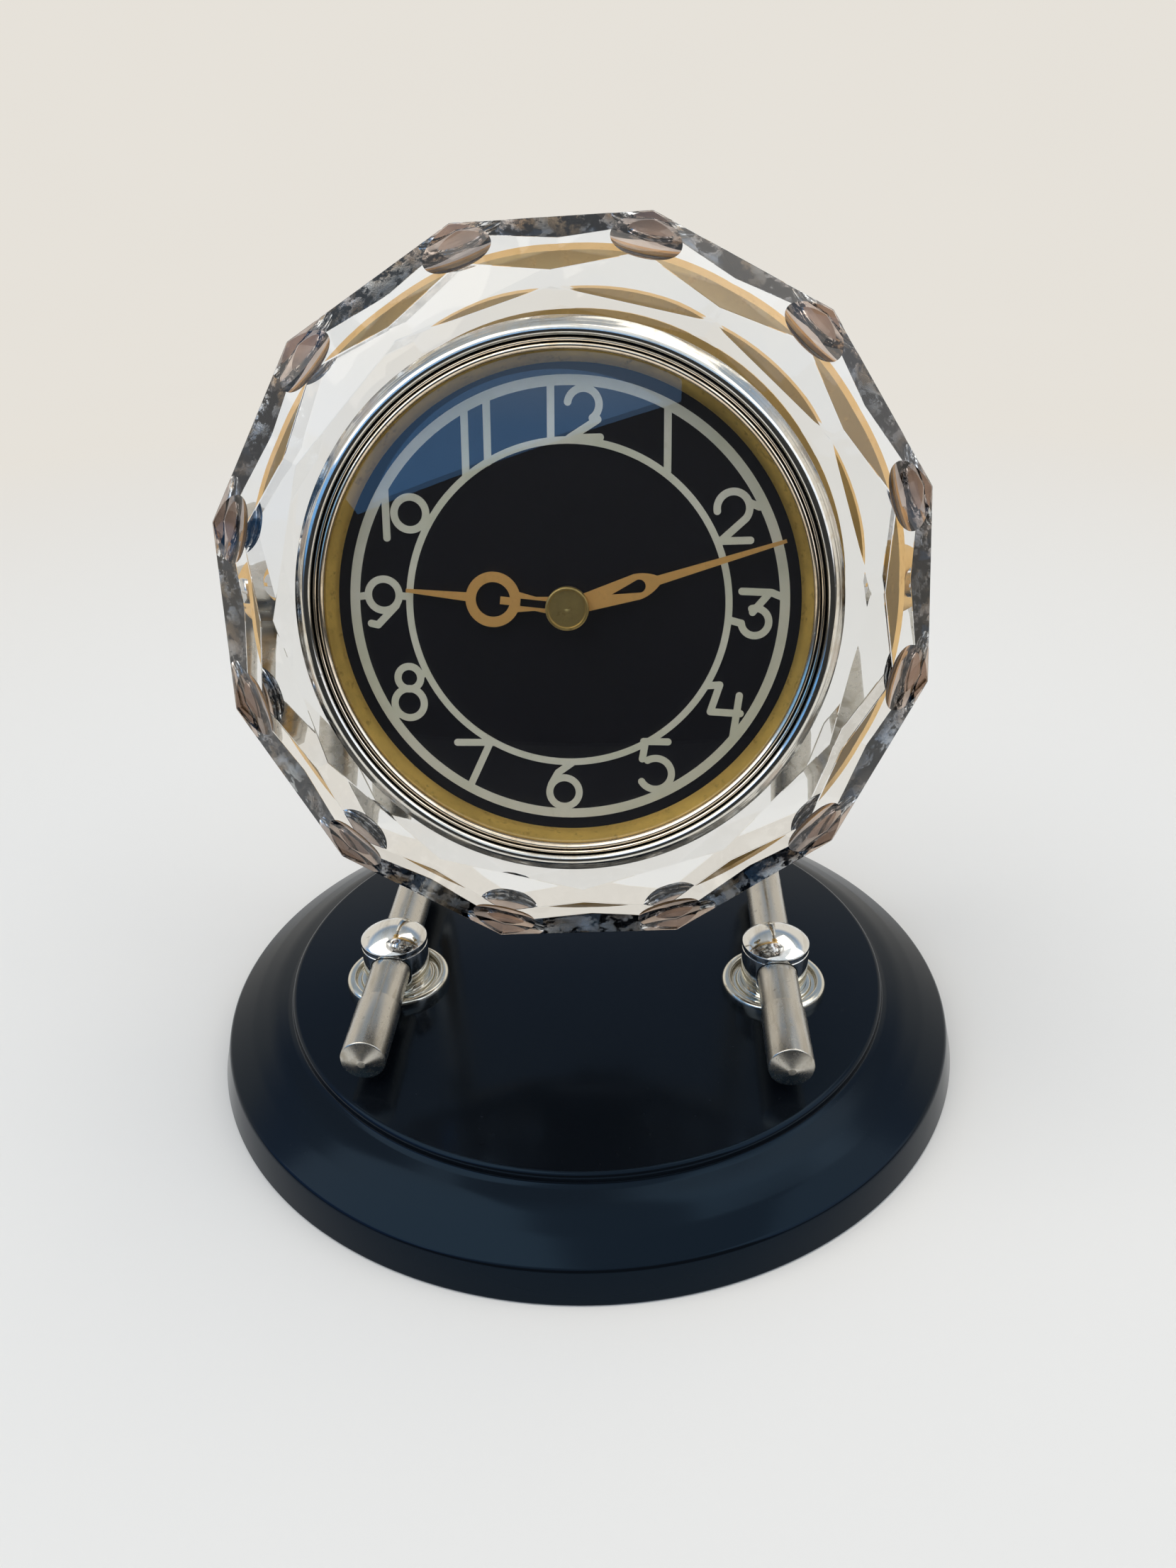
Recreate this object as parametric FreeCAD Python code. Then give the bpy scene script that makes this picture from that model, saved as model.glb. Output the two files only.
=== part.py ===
import FreeCAD, Part
import math
import os

os.makedirs("parts", exist_ok=True)
Vector = FreeCAD.Vector

# Shared clearances
press_gap = 0.02
running_gap = 0.05
seat_gap = 0.1
cut_overrun = 1.0
rounding_share = 0.414

# Moulded foot
base_radius = 70.0
base_wall_radius = 68.7
base_wall_height = 5.1
shoulder_radius = 67.6
shoulder_height = 6.2
slope_out_radius = 64.0
slope_out_height = 8.2
slope_in_radius = 60.2
slope_in_height = 9.8
step_radius = 56.6
step_foot_height = 10.7
step_top_radius = 56.3
step_top_height = 11.7
platform_radius = 55.0
platform_height = 12.62
base_skin = 2.6
hollow_radius = 66.5
hollow_wall_height = 3.4
hollow_turn_radius = 55.0
hollow_turn_height = 8.6
ceiling_radius = 52.5

# Weight, felt and their screws
pad_radius = 66.3
pad_thickness = 1.2
weight_radius = 62.0
weight_thickness = 2.0
weight_corner = 0.5
boss_count = 3
boss_angle = 30.0
boss_circle_radius = 46.0
boss_radius = 4.0
boss_hole_depth = 5.0
base_screw_radius = 1.5
base_screw_head_radius = 3.0
base_screw_head_height = 1.2
base_screw_length = 5.6
slot_width = 0.6
slot_depth = 0.5

# Posts with their collars and flanged nuts
post_offset = 35.4
post_depth = 8.54
post_radius = 6.1
post_height = 10.5
post_edge = 0.5
post_dome = 1.9
stud_radius = 3.0
stud_length = 7.6
collar_radius = 9.55
collar_rim_width = 1.8
collar_rim_height = 1.9
collar_rim_rise = 0.4
collar_floor_height = 0.9
collar_neck_radius = 6.9
collar_neck_height = 1.5
nut_flange_radius = 6.2
nut_flange_thickness = 0.8
nut_across = 10.0
nut_height = 2.6

# Support rods and their end sleeves
rod_radius = 3.6
rod_rise = 5.95
rod_bend_radius = 10.0
rod_back = 30.0
rod_tip_depth = 39.15
tip_sleeve_radius = 3.85
tip_sleeve_length = 14.6
tip_cone_length = 1.1
tip_nose_radius = 0.7
spigot_radius = 2.9
spigot_length = 11.0

# Head placing
head_tilt = 13.2
head_depth = 25.61
head_height = 93.08

# Cut crystal
crystal_turn = 2.41
crystal_sides = 12
crystal_radius = 55.2
crystal_thickness = 30.0
crystal_bore = 36.4
table_corner_radius = 43.3
facet_tip_radius = 45.4
corner_start_radius = 47.2
corner_drop = 0.2
main_slope_share = 0.9
row_slope_share = 0.31

# Lining tube, seals and bezel
tube_radius = 36.2
tube_inner_radius = 35.4
tube_flange_radius = 38.9
seal_thickness = 0.25
flange_thickness = 0.35
bezel_radius = 39.5
bezel_skirt = 0.1
bezel_shoulder = 0.9
bezel_crest_radius = 37.0
bezel_crest_height = 3.1
bezel_groove_radius = 36.15
bezel_groove_height = 2.3
bezel_lip_radius = 35.0
bezel_lip_height = 2.7
bezel_lip_under = 1.55
glass_edge_radius = 35.75
glass_edge_height = 0.85
glass_dome_radius = 34.7
glass_apex = 4.1
glass_thickness = 1.2

# Inner ring, dial and painted figures
rehaut_radius = 35.3
rehaut_front_radius = 34.95
rehaut_back_radius = 33.5
rehaut_depth = 2.65
dial_radius = 35.3
dial_thickness = 0.6
dial_bore = 2.0
paint_height = 0.15
paint_radius = 31.9
paint_ring_width = 1.4
paint_inner_radius = 23.7
paint_inner_width = 1.0
stroke_width = 1.05

# Hands
hour_angle = 174.0
minute_angle = 16.7
hour_hand_front = 0.9
hour_hand_thickness = 0.3
minute_hand_back = 0.2
minute_hand_thickness = 0.3
hour_length = 23.6
hour_ring_offset = 10.9
hour_ring_radius = 3.97
hour_ring_hole = 2.5
hour_stub_width = 1.1
hour_stub_length = 1.7
hour_boss_radius = 2.6
hour_neck_half = 1.5
hour_neck_waist = 1.0
hour_neck_slot = 0.55
minute_length = 32.3
minute_boss_radius = 2.3
minute_foot_half = 1.1
minute_leaf_half = 1.85
minute_leaf_offset = 10.4
minute_leaf_end = 13.6
minute_slot_half = 0.95
minute_slot_start = 6.6
minute_slot_round = 10.7
pointer_half = 0.65
pointer_tip_half = 0.25
cap_radius = 3.13
cap_height = 1.3
cap_rim_width = 0.35
cap_rim_depth = 0.25
cap_bore_depth = 0.8

# Movement frame
spacer_width = 1.4
plate_thickness = 1.6
front_plate_depth = 6.6
plate_spacing = 11.8
back_plate_radius = 30.0
pillar_count = 3
pillar_angle = 95.0
pillar_circle_radius = 27.6
pillar_radius = 1.6
pillar_spigot_radius = 1.0
pivot_radius = 0.4
shoulder_gap = 0.06

# Centre arbor, knob and motion work
arbor_radius = 0.75
cannon_pipe_radius = 1.15
hour_pipe_radius = 1.65
knob_radius = 5.0
knob_height = 4.2
knob_gap = 0.6
knob_flute_count = 16
knob_flute_radius = 0.35
motion_module = 0.3
cannon_leaves = 12
minute_wheel_teeth = 36
minute_pinion_leaves = 10
hour_wheel_teeth = 40
cannon_front_depth = 5.3
minute_wheel_front = 5.6
motion_thickness = 0.5
hour_wheel_front = 4.2
minute_pinion_front = 3.9
minute_wheel_angle = 300.0
minute_stud_radius = 0.6

# Going train
barrel_teeth = 72
barrel_module = 0.36
barrel_front = 10.0
barrel_depth = 7.4
barrel_wall = 0.7
barrel_tooth_width = 1.0
barrel_drum_radius = 12.2
barrel_offset = 16.0
barrel_angle = 280.07
barrel_arbor_radius = 1.5
barrel_hub_radius = 3.2
winding_pivot_radius = 1.1
spring_strip = 0.3
spring_pitch = 0.72
spring_gap = 0.6
intermediate_angle = 215.0
intermediate_leaves = 12
intermediate_teeth = 72
intermediate_module = 0.25
intermediate_pinion_front = 16.0
intermediate_pinion_width = 1.7
intermediate_wheel_front = 18.2
wheel_thickness = 0.6
centre_pinion_leaves = 16
centre_pinion_front = 17.9
centre_pinion_width = 1.2
centre_teeth = 80
centre_module = 0.25
centre_wheel_front = 8.9
centre_pipe_radius = 1.3
third_angle = 35.0
third_leaves = 10
third_pinion_front = 8.5
third_pinion_width = 1.3
third_teeth = 75
third_module = 0.22
third_wheel_front = 12.6
fourth_angle = 120.0
fourth_leaves = 10
fourth_pinion_front = 12.2
fourth_pinion_width = 1.3
fourth_teeth = 80
fourth_module = 0.2
fourth_wheel_front = 16.0
escape_angle = 175.0
escape_leaves = 8
escape_pinion_front = 15.6
escape_pinion_width = 1.3
escape_teeth = 15
escape_radius = 5.5
escape_root_radius = 4.3
escape_wheel_front = 10.7
wheel_arbor_radius = 0.55
wheel_rim_share = 0.84
wheel_hub_share = 0.2
wheel_spokes = 5
spoke_width_share = 0.09
wheel_addendum_share = 0.85
wheel_dedendum_share = 1.2
wheel_root_share = 0.24
wheel_tip_share = 0.09
pinion_addendum_share = 0.6
pinion_dedendum_share = 1.3
pinion_root_share = 0.17
pinion_tip_share = 0.11

# Lever, balance, hairspring and regulator
lever_angle = 190.0
lever_distance = 7.0
lever_front = 10.7
lever_thickness = 0.6
lever_arm = 5.2
lever_half = 0.45
lever_hub_radius = 1.1
pallet_reach = 1.5
pallet_spread = 2.6
pallet_thickness = 0.7
fork_half = 1.0
fork_length = 1.4
fork_slot_half = 0.4
balance_angle = 215.0
balance_distance = 8.6
balance_radius = 7.5
balance_rim = 1.1
balance_front = 13.4
balance_thickness = 1.0
balance_spoke_half = 0.5
roller_radius = 1.4
roller_front = 12.0
roller_thickness = 0.5
hairspring_front = 16.4
hairspring_height = 0.5
hairspring_strip = 0.12
hairspring_pitch = 0.5
hairspring_turns = 7
collet_radius = 0.9
stud_block = 0.6
regulator_radius = 1.9
regulator_bore = 1.0
regulator_length = 8.5
regulator_half = 0.5
regulator_thickness = 0.4
jewel_radius = 0.95
jewel_height = 0.7

# Winding side on the back plate
ratchet_teeth = 24
ratchet_radius = 6.2
ratchet_root_radius = 5.4
ratchet_thickness = 0.9
ratchet_gap = 0.3
click_pivot_offset = 9.2
click_pivot_angle = 62.0
click_pivot_radius = 0.8
click_hub_radius = 1.5
click_length = 5.6
click_half = 0.55
key_gap = 0.9
key_boss_radius = 2.6
key_boss_height = 4.2
key_wing_half = 8.0
key_wing_height = 8.5
key_wing_thickness = 1.6
key_wing_round = 3.0
key_hole_radius = 1.1

# Rear frame with rod sockets, cover and screws
frame_radius = 42.8
frame_thickness = 2.2
frame_opening = 27.0
frame_sleeve_wall = 1.15
socket_radius = 5.3
socket_length = 11.5
socket_depth = 9.5
rod_screw_radius = 1.25
rod_screw_head_radius = 2.1
rod_screw_head_height = 1.3
rod_screw_place = 5.0
cover_radius = 29.6
cover_flange = 0.9
cover_wall = 0.8
cover_depth = 6.2
cover_shoulder_radius = 26.6
cover_dome_radius = 23.5
cover_arbor_gap = 0.4
back_screw_count = 2
back_screw_circle = 28.1
back_screw_radius = 0.7
back_screw_head_radius = 1.2
back_screw_head_height = 0.8
back_screw_length = 1.6


def bulge(start, end, corner, share):
    middle = ((start[0] + end[0]) / 2, (start[1] + end[1]) / 2)
    return (middle[0] + (corner[0] - middle[0]) * share,
            middle[1] + (corner[1] - middle[1]) * share)


def path_wire(path, upright):
    """Closed wire from points, arcs (middle, end) and curves (point lists)."""
    def lift(point):
        return Vector(point[0], 0, point[1]) if upright else Vector(point[0], point[1], 0)
    edges = []
    here = path[0]
    for step in path[1:] + [path[0]]:
        if isinstance(step, list):
            curve = Part.BSplineCurve()
            curve.interpolate([lift(here)] + [lift(point) for point in step])
            edges.append(curve.toShape())
            here = step[-1]
        elif isinstance(step[0], tuple):
            edges.append(Part.Arc(lift(here), lift(step[0]), lift(step[1])).toShape())
            here = step[1]
        else:
            if math.dist(here, step) > 0:
                edges.append(Part.makeLine(lift(here), lift(step)))
            here = step
    return Part.Wire(edges)


def turned(path):
    face = Part.Face(path_wire(path, True))
    return face.revolve(Vector(0, 0, 0), Vector(0, 0, 1), 360)


def plate(path, front, thickness):
    face = Part.Face(path_wire(path, False))
    face.translate(Vector(0, 0, front - thickness))
    return face.extrude(Vector(0, 0, thickness))


def bar(radius, top, bottom, x=0, y=0):
    return Part.makeCylinder(radius, top - bottom, Vector(x, y, bottom))


def pipe(outer, inner, top, bottom, x=0, y=0):
    bore = bar(inner, top + cut_overrun, bottom - cut_overrun, x, y)
    return bar(outer, top, bottom, x, y).cut(bore)


def polar(distance, angle, origin=(0, 0)):
    turn = math.radians(angle)
    return (origin[0] + distance * math.cos(turn), origin[1] + distance * math.sin(turn))


def turn_about(shape, angle, centre=(0, 0)):
    shape.rotate(Vector(centre[0], centre[1], 0), Vector(0, 0, 1), angle)
    return shape


def moved(shape, x, y, z=0):
    shape.translate(Vector(x, y, z))
    return shape


def in_head(shape):
    shape.rotate(Vector(0, 0, 0), Vector(1, 0, 0), 90 - head_tilt)
    shape.translate(Vector(0, -head_depth, head_height))
    return shape


def save(name, shape):
    if shape.ShapeType == "Compound" and len(shape.Solids) == 1:
        shape = shape.Solids[0]
    if len(shape.Solids) != 1 or not shape.isValid():
        print("CHECK", name, len(shape.Solids), shape.isValid())
    shape.exportStep("parts/" + name + ".step")
    print(name, round(shape.Volume, 2))


def save_head(name, shape):
    save(name, in_head(shape))


def arch(start, apex):
    """Middle and end point of a shallow arc that closes on the axis."""
    rise = apex - start[1]
    radius = (start[0] ** 2 + rise ** 2) / (2 * rise)
    half = math.asin(start[0] / radius) / 2
    return ((radius * math.sin(half), apex - radius * (1 - math.cos(half))), (0, apex))


def hexagon(across):
    corner = across / math.sqrt(3)
    return [polar(corner, 60 * side) for side in range(6)]


def screw(radius, length, head_radius, head_height):
    """Slotted screw, head top at zero and thread below it."""
    edge = (head_radius - head_radius * rounding_share / 2, 0)
    side = (head_radius, -head_height / 2)
    body = turned([(0, 0), edge, (bulge(edge, side, (head_radius, 0), rounding_share), side),
                   (head_radius, -head_height), (radius, -head_height),
                   (radius, -head_height - length), (0, -head_height - length)])
    slot = Part.makeBox(2 * head_radius + cut_overrun, slot_width, slot_depth + cut_overrun)
    slot.translate(Vector(-head_radius - cut_overrun / 2, -slot_width / 2, -slot_depth))
    return body.cut(slot)


# Foot
shoulder_start = (base_wall_radius, base_wall_height)
shoulder_end = (shoulder_radius, shoulder_height)
shoulder_corner = (base_wall_radius, shoulder_height)
edge_start = (step_top_radius, step_top_height)
edge_end = (platform_radius, platform_height)
edge_corner = (step_top_radius, platform_height)
ceiling = platform_height - base_skin
base_shell = turned([
    (hollow_radius, 0), (base_radius, 0), shoulder_start,
    (bulge(shoulder_start, shoulder_end, shoulder_corner, rounding_share), shoulder_end),
    [(slope_out_radius, slope_out_height), (slope_in_radius, slope_in_height),
     (step_radius, step_foot_height)],
    edge_start, (bulge(edge_start, edge_end, edge_corner, rounding_share), edge_end),
    (0, platform_height), (0, ceiling), (ceiling_radius, ceiling),
    (hollow_turn_radius, hollow_turn_height), (hollow_radius, hollow_wall_height)])
weight_top = pad_thickness + weight_thickness
base_weight = turned([(0, pad_thickness), (weight_radius, pad_thickness),
                      (weight_radius, weight_top - weight_corner),
                      (weight_radius - weight_corner, weight_top), (0, weight_top)])
for number in range(boss_count):
    x, y = polar(boss_circle_radius, boss_angle + number * 360 / boss_count)
    boss = bar(boss_radius, ceiling + base_skin / 2, weight_top, x, y)
    hole = bar(base_screw_radius + press_gap, weight_top + boss_hole_depth, 0, x, y)
    base_shell = base_shell.fuse(boss).cut(hole)
    sink = bar(base_screw_head_radius + seat_gap, pad_thickness + base_screw_head_height, 0, x, y)
    base_weight = base_weight.cut(hole).cut(sink)
    base_screw = screw(base_screw_radius, base_screw_length, base_screw_head_radius, base_screw_head_height)
    base_screw.rotate(Vector(0, 0, 0), Vector(1, 0, 0), 180)
    save("base_screw_" + str(number + 1), moved(base_screw, x, y, pad_thickness))

post_stud_hole = stud_radius + press_gap
rod_height = platform_height + rod_rise
for side, x in (("left", -post_offset), ("right", post_offset)):
    y = -post_depth
    base_shell = base_shell.cut(bar(post_stud_hole, platform_height + cut_overrun, 0, x, y))
    rim = post_height - post_edge
    dome = arch((post_radius - post_edge, post_height), post_height + post_dome)
    post = turned([(0, -stud_length), (stud_radius, -stud_length), (stud_radius, 0), (post_radius, 0),
                   (post_radius, rim), (post_radius - post_edge, post_height), dome])
    bore = Part.makeCylinder(rod_radius + press_gap, 4 * post_radius,
                             Vector(0, -2 * post_radius, rod_rise), Vector(0, 1, 0))
    post = post.cut(bore)
    save("post_" + side, moved(post, x, y, platform_height))
    rim_in = collar_radius - collar_rim_width
    rim_side = collar_rim_height - collar_rim_rise
    bore_in = post_radius + press_gap
    collar = turned([(bore_in, 0), (collar_radius, 0), (collar_radius, rim_side),
                     ((collar_radius - collar_rim_width / 2, collar_rim_height), (rim_in, rim_side)),
                     (rim_in, collar_floor_height), (collar_neck_radius, collar_floor_height),
                     (collar_neck_radius, collar_neck_height), (bore_in, collar_neck_height)])
    save("post_ring_" + side, moved(collar, x, y, platform_height))
    nut = plate(hexagon(nut_across), ceiling - nut_flange_thickness, nut_height)
    nut = moved(nut, x, y).fuse(bar(nut_flange_radius, ceiling, ceiling - nut_flange_thickness, x, y))
    nut = nut.cut(bar(post_stud_hole, ceiling + cut_overrun, 0, x, y))
    save("post_nut_" + side, nut)
save("base_shell", base_shell)
save("base_weight", base_weight)
save("base_pad", bar(pad_radius, pad_thickness, 0))


# Rods: straight under the head, up behind it and forward into the sockets
def bend(before, corner, after, radius):
    """Start, middle and end points of the arc that rounds a corner."""
    into = (corner - before).normalize()
    away = (after - corner).normalize()
    turn = into.getAngle(away)
    tangent = radius * math.tan(turn / 2)
    inward = (away - into).normalize()
    centre = corner + inward * (radius / math.cos(turn / 2))
    return corner - into * tangent, centre - inward * radius, corner + away * tangent


tilt = math.radians(head_tilt)
socket_floor = crystal_thickness + seal_thickness + frame_thickness
rod_end_depth = socket_floor + socket_length - socket_depth
rod_end = Vector(0, rod_end_depth * math.cos(tilt) - head_depth,
                 head_height - rod_end_depth * math.sin(tilt))
top_run = (rod_back - rod_end.y) / math.cos(tilt)
high_corner = rod_end + Vector(0, top_run * math.cos(tilt), -top_run * math.sin(tilt))
low_corner = Vector(0, rod_back, rod_height)
sleeve_back = tip_sleeve_length - rod_tip_depth
rod_front = Vector(0, sleeve_back, rod_height)
low = bend(rod_front, low_corner, high_corner, rod_bend_radius)
high = bend(low_corner, high_corner, rod_end, rod_bend_radius)
spine = Part.Wire([Part.makeLine(rod_front, low[0]), Part.Arc(low[0], low[1], low[2]).toShape(),
                   Part.makeLine(low[2], high[0]), Part.Arc(high[0], high[1], high[2]).toShape(),
                   Part.makeLine(high[2], rod_end)])
ring = Part.Wire([Part.makeCircle(rod_radius, rod_front, Vector(0, 1, 0))])
rod = spine.makePipeShell([ring], True, True)
spigot = Part.makeCylinder(spigot_radius, spigot_length + cut_overrun,
                           rod_front - Vector(0, spigot_length, 0), Vector(0, 1, 0))
rod = rod.fuse(spigot)
cone_foot = tip_sleeve_length - tip_cone_length
sleeve = turned([(0, spigot_length + seat_gap), (spigot_radius + press_gap, spigot_length + seat_gap),
                 (spigot_radius + press_gap, 0), (tip_sleeve_radius, 0), (tip_sleeve_radius, cone_foot),
                 (tip_nose_radius, tip_sleeve_length), (0, tip_sleeve_length)])
sleeve.rotate(Vector(0, 0, 0), Vector(1, 0, 0), 90)
sleeve.translate(rod_front)
for side, x in (("left", -post_offset), ("right", post_offset)):
    save("rod_" + side, moved(rod.copy(), x, 0))
    save("rod_tip_" + side, moved(sleeve.copy(), x, 0))

# Crystal: one long prism per facet direction, all kept in common
half_pitch = 180 / crystal_sides
reach = crystal_radius + cut_overrun
wide = 4 * crystal_radius


def facet_prism(points):
    """Profile of radius and depth, mirrored left to right and front to back."""
    back = [(radius, crystal_thickness - depth) for radius, depth in reversed(points)]
    right = points + back
    left = [(-radius, depth) for radius, depth in reversed(right)]
    wire = Part.makePolygon([Vector(radius, 0, -depth) for radius, depth in right + left + right[:1]])
    prism = Part.Face(wire).extrude(Vector(0, wide, 0))
    return moved(prism, 0, -wide / 2)


half_share = math.cos(math.radians(half_pitch))
row_radius = table_corner_radius * half_share
side_radius = crystal_radius * half_share
tip_depth = (facet_tip_radius - table_corner_radius) * half_share * row_slope_share
side_start = facet_tip_radius - tip_depth / main_slope_share
girdle_depth = (side_radius - side_start) * main_slope_share
side_prism = facet_prism([(side_start, 0), (side_radius, girdle_depth)])
corner_depth = (corner_start_radius - row_radius) * row_slope_share
corner_end_depth = girdle_depth + corner_drop
corner_prism = facet_prism([(row_radius, 0), (corner_start_radius, corner_depth),
                            (crystal_radius, corner_end_depth), (reach, corner_end_depth)])
crystal = bar(reach, 0, -crystal_thickness)
for number in range(crystal_sides // 2):
    angle = crystal_turn + 2 * half_pitch * number
    crystal = crystal.common(turn_about(side_prism.copy(), angle))
    crystal = crystal.common(turn_about(corner_prism.copy(), angle + half_pitch))
crystal = crystal.cut(bar(crystal_bore, cut_overrun, -crystal_thickness - cut_overrun))
save_head("crystal_body", crystal)

# Lining tube, seals, bezel and dial glass
flange_front = seal_thickness + flange_thickness
tube_back = -crystal_thickness - seal_thickness
case_tube = turned([(tube_inner_radius, flange_front), (tube_flange_radius, flange_front),
                    (tube_flange_radius, seal_thickness), (tube_radius, seal_thickness),
                    (tube_radius, tube_back), (tube_inner_radius, tube_back)])
save_head("case_tube", case_tube)
save_head("front_gasket", pipe(tube_flange_radius, tube_radius + running_gap, seal_thickness, 0))
save_head("rear_gasket", pipe(tube_flange_radius, tube_radius + running_gap,
                              -crystal_thickness, tube_back))
skirt_in = tube_flange_radius + press_gap
rebate = glass_edge_radius + press_gap
crest_side = (bezel_radius - (bezel_radius - bezel_crest_radius) / 3, bezel_shoulder * 2)
crest_top = (bezel_crest_radius, bezel_crest_height)
crest_in = (bezel_groove_radius + bezel_skirt, bezel_groove_height)
lip_out = (bezel_groove_radius - bezel_skirt, bezel_groove_height)
lip_top = (bezel_lip_radius + (bezel_groove_radius - bezel_lip_radius) / 2, bezel_lip_height)
bezel_ring = turned([
    (skirt_in, bezel_skirt), (bezel_radius, bezel_skirt), (bezel_radius, bezel_shoulder), crest_side,
    (bulge(crest_side, crest_top, (crest_side[0], crest_top[1]), rounding_share / 2), crest_top),
    (bulge(crest_top, crest_in, (crest_in[0], crest_top[1]), rounding_share), crest_in),
    lip_out, (bulge(lip_out, lip_top, (lip_out[0], lip_top[1]), rounding_share), lip_top),
    (bezel_lip_radius, bezel_groove_height), (bezel_lip_radius, bezel_lip_under),
    (rebate, bezel_lip_under), (rebate, flange_front), (skirt_in, flange_front)])
save_head("bezel_ring", bezel_ring)


glass_top = flange_front + glass_edge_height
dome_foot = (glass_dome_radius, glass_top + seat_gap)
hollow_foot = (glass_dome_radius - glass_thickness, flange_front)
outer_dome = arch(dome_foot, glass_apex)
inner_dome = arch(hollow_foot, glass_apex - glass_thickness)
dial_glass = turned([(0, glass_apex - glass_thickness), (inner_dome[0], hollow_foot),
                     (glass_edge_radius, flange_front), (glass_edge_radius, glass_top), dome_foot,
                     outer_dome])
save_head("dial_glass", dial_glass)

# Inner ring, dial and painted figures
rehaut_front = flange_front - seat_gap / 2
dial_front = rehaut_front - rehaut_depth
rehaut_ring = turned([(rehaut_front_radius, rehaut_front), (rehaut_radius, rehaut_front),
                      (rehaut_radius, dial_front), (rehaut_back_radius, dial_front)])
save_head("rehaut_ring", rehaut_ring)
save_head("dial_plate", pipe(dial_radius, dial_bore, dial_front, dial_front - dial_thickness))

# Strokes of the figures as shares of the paint radius, circles as centre and radius
line_shares = [
    [(-0.067, 0.966), (-0.069, 0.725)], [(0.138, 0.812), (0.012, 0.735)],
    [(0.012, 0.735), (0.148, 0.737)], [(0.444, 0.872), (0.444, 0.592)],
    [(0.792, 0.385), (0.683, 0.288)], [(0.683, 0.288), (0.816, 0.291)],
    [(0.806, 0.455), (0.852, 0.436)], [(0.683, 0.288), (0.671, 0.292)],
    [(0.784, 0.066), (0.917, 0.060)], [(0.917, 0.060), (0.965, 0.040)],
    [(0.905, 0.055), (0.834, -0.028)], [(0.784, -0.078), (0.727, -0.062)],
    [(0.636, -0.364), (0.693, -0.361)], [(0.693, -0.361), (0.652, -0.486)],
    [(0.652, -0.486), (0.790, -0.495)], [(0.784, -0.411), (0.759, -0.600)],
    [(0.345, -0.628), (0.458, -0.630)], [(0.354, -0.628), (0.339, -0.712)],
    [(-0.091, -0.838), (-0.058, -0.780)], [(-0.058, -0.780), (0.006, -0.734)],
    [(-0.530, -0.635), (-0.357, -0.635)], [(-0.376, -0.636), (-0.476, -0.846)],
    [(-0.690, -0.320), (-0.668, -0.301)], [(-0.799, -0.495), (-0.821, -0.514)],
    [(-0.918, 0.053), (-0.965, 0.047)], [(-0.771, 0.050), (-0.730, 0.047)],
    [(-0.790, 0.006), (-0.878, -0.082)], [(-0.878, -0.082), (-0.909, -0.075)],
    [(-0.817, 0.310), (-0.817, 0.520)], [(-0.449, 0.583), (-0.449, 0.865)],
    [(-0.350, 0.636), (-0.350, 0.909)]]
circle_shares = [(-0.029, -0.875, 0.070), (-0.745, -0.328, 0.053), (-0.749, -0.448, 0.069),
                 (-0.845, 0.055, 0.071), (-0.708, 0.417, 0.072)]
arc_shares = [(0.075, 0.875, 0.069, 170, -55), (0.737, 0.431, 0.072, 190, -40),
              (0.846, -0.072, 0.062, 105, -175), (0.401, -0.784, 0.075, 120, -150)]


def stroke(start, end):
    length = math.dist(start, end)
    body = Part.makeBox(length, stroke_width, paint_height)
    body.translate(Vector(0, -stroke_width / 2, 0))
    slant = math.degrees(math.atan2(end[1] - start[1], end[0] - start[0]))
    body.rotate(Vector(0, 0, 0), Vector(0, 0, 1), slant)
    body.translate(Vector(start[0], start[1], dial_front))
    ends = [bar(stroke_width / 2, dial_front + paint_height, dial_front, x, y) for x, y in (start, end)]
    return [body] + ends


paint_top = dial_front + paint_height
strokes = [pipe(paint_inner_radius, paint_inner_radius - paint_inner_width, paint_top, dial_front)]
for start, end in line_shares:
    strokes += stroke([share * paint_radius for share in start], [share * paint_radius for share in end])
for x_share, y_share, radius_share in circle_shares:
    radius = radius_share * paint_radius
    strokes.append(pipe(radius + stroke_width / 2, radius - stroke_width / 2, paint_top, dial_front,
                        x_share * paint_radius, y_share * paint_radius))
for x_share, y_share, radius_share, first_share, last_share in arc_shares:
    centre = (x_share * paint_radius, y_share * paint_radius)
    radius = radius_share * paint_radius
    inner = radius - stroke_width / 2
    outer = radius + stroke_width / 2
    middle_share = (first_share + last_share) / 2
    strokes.append(plate([polar(outer, first_share, centre),
                          (polar(outer, middle_share, centre), polar(outer, last_share, centre)),
                          polar(inner, last_share, centre),
                          (polar(inner, middle_share, centre), polar(inner, first_share, centre))],
                         paint_top, paint_height))
    for angle_share in (first_share, last_share):
        x, y = polar(radius, angle_share, centre)
        strokes.append(bar(stroke_width / 2, paint_top, dial_front, x, y))
dial_numerals = pipe(paint_radius, paint_radius - paint_ring_width, paint_top, dial_front)
dial_numerals = dial_numerals.multiFuse(strokes)
outside = pipe(paint_radius + 2 * stroke_width, paint_radius, paint_top + cut_overrun,
               dial_front - cut_overrun)
dial_numerals = dial_numerals.cut(outside).removeSplitter()
save_head("dial_numerals", dial_numerals)

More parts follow.
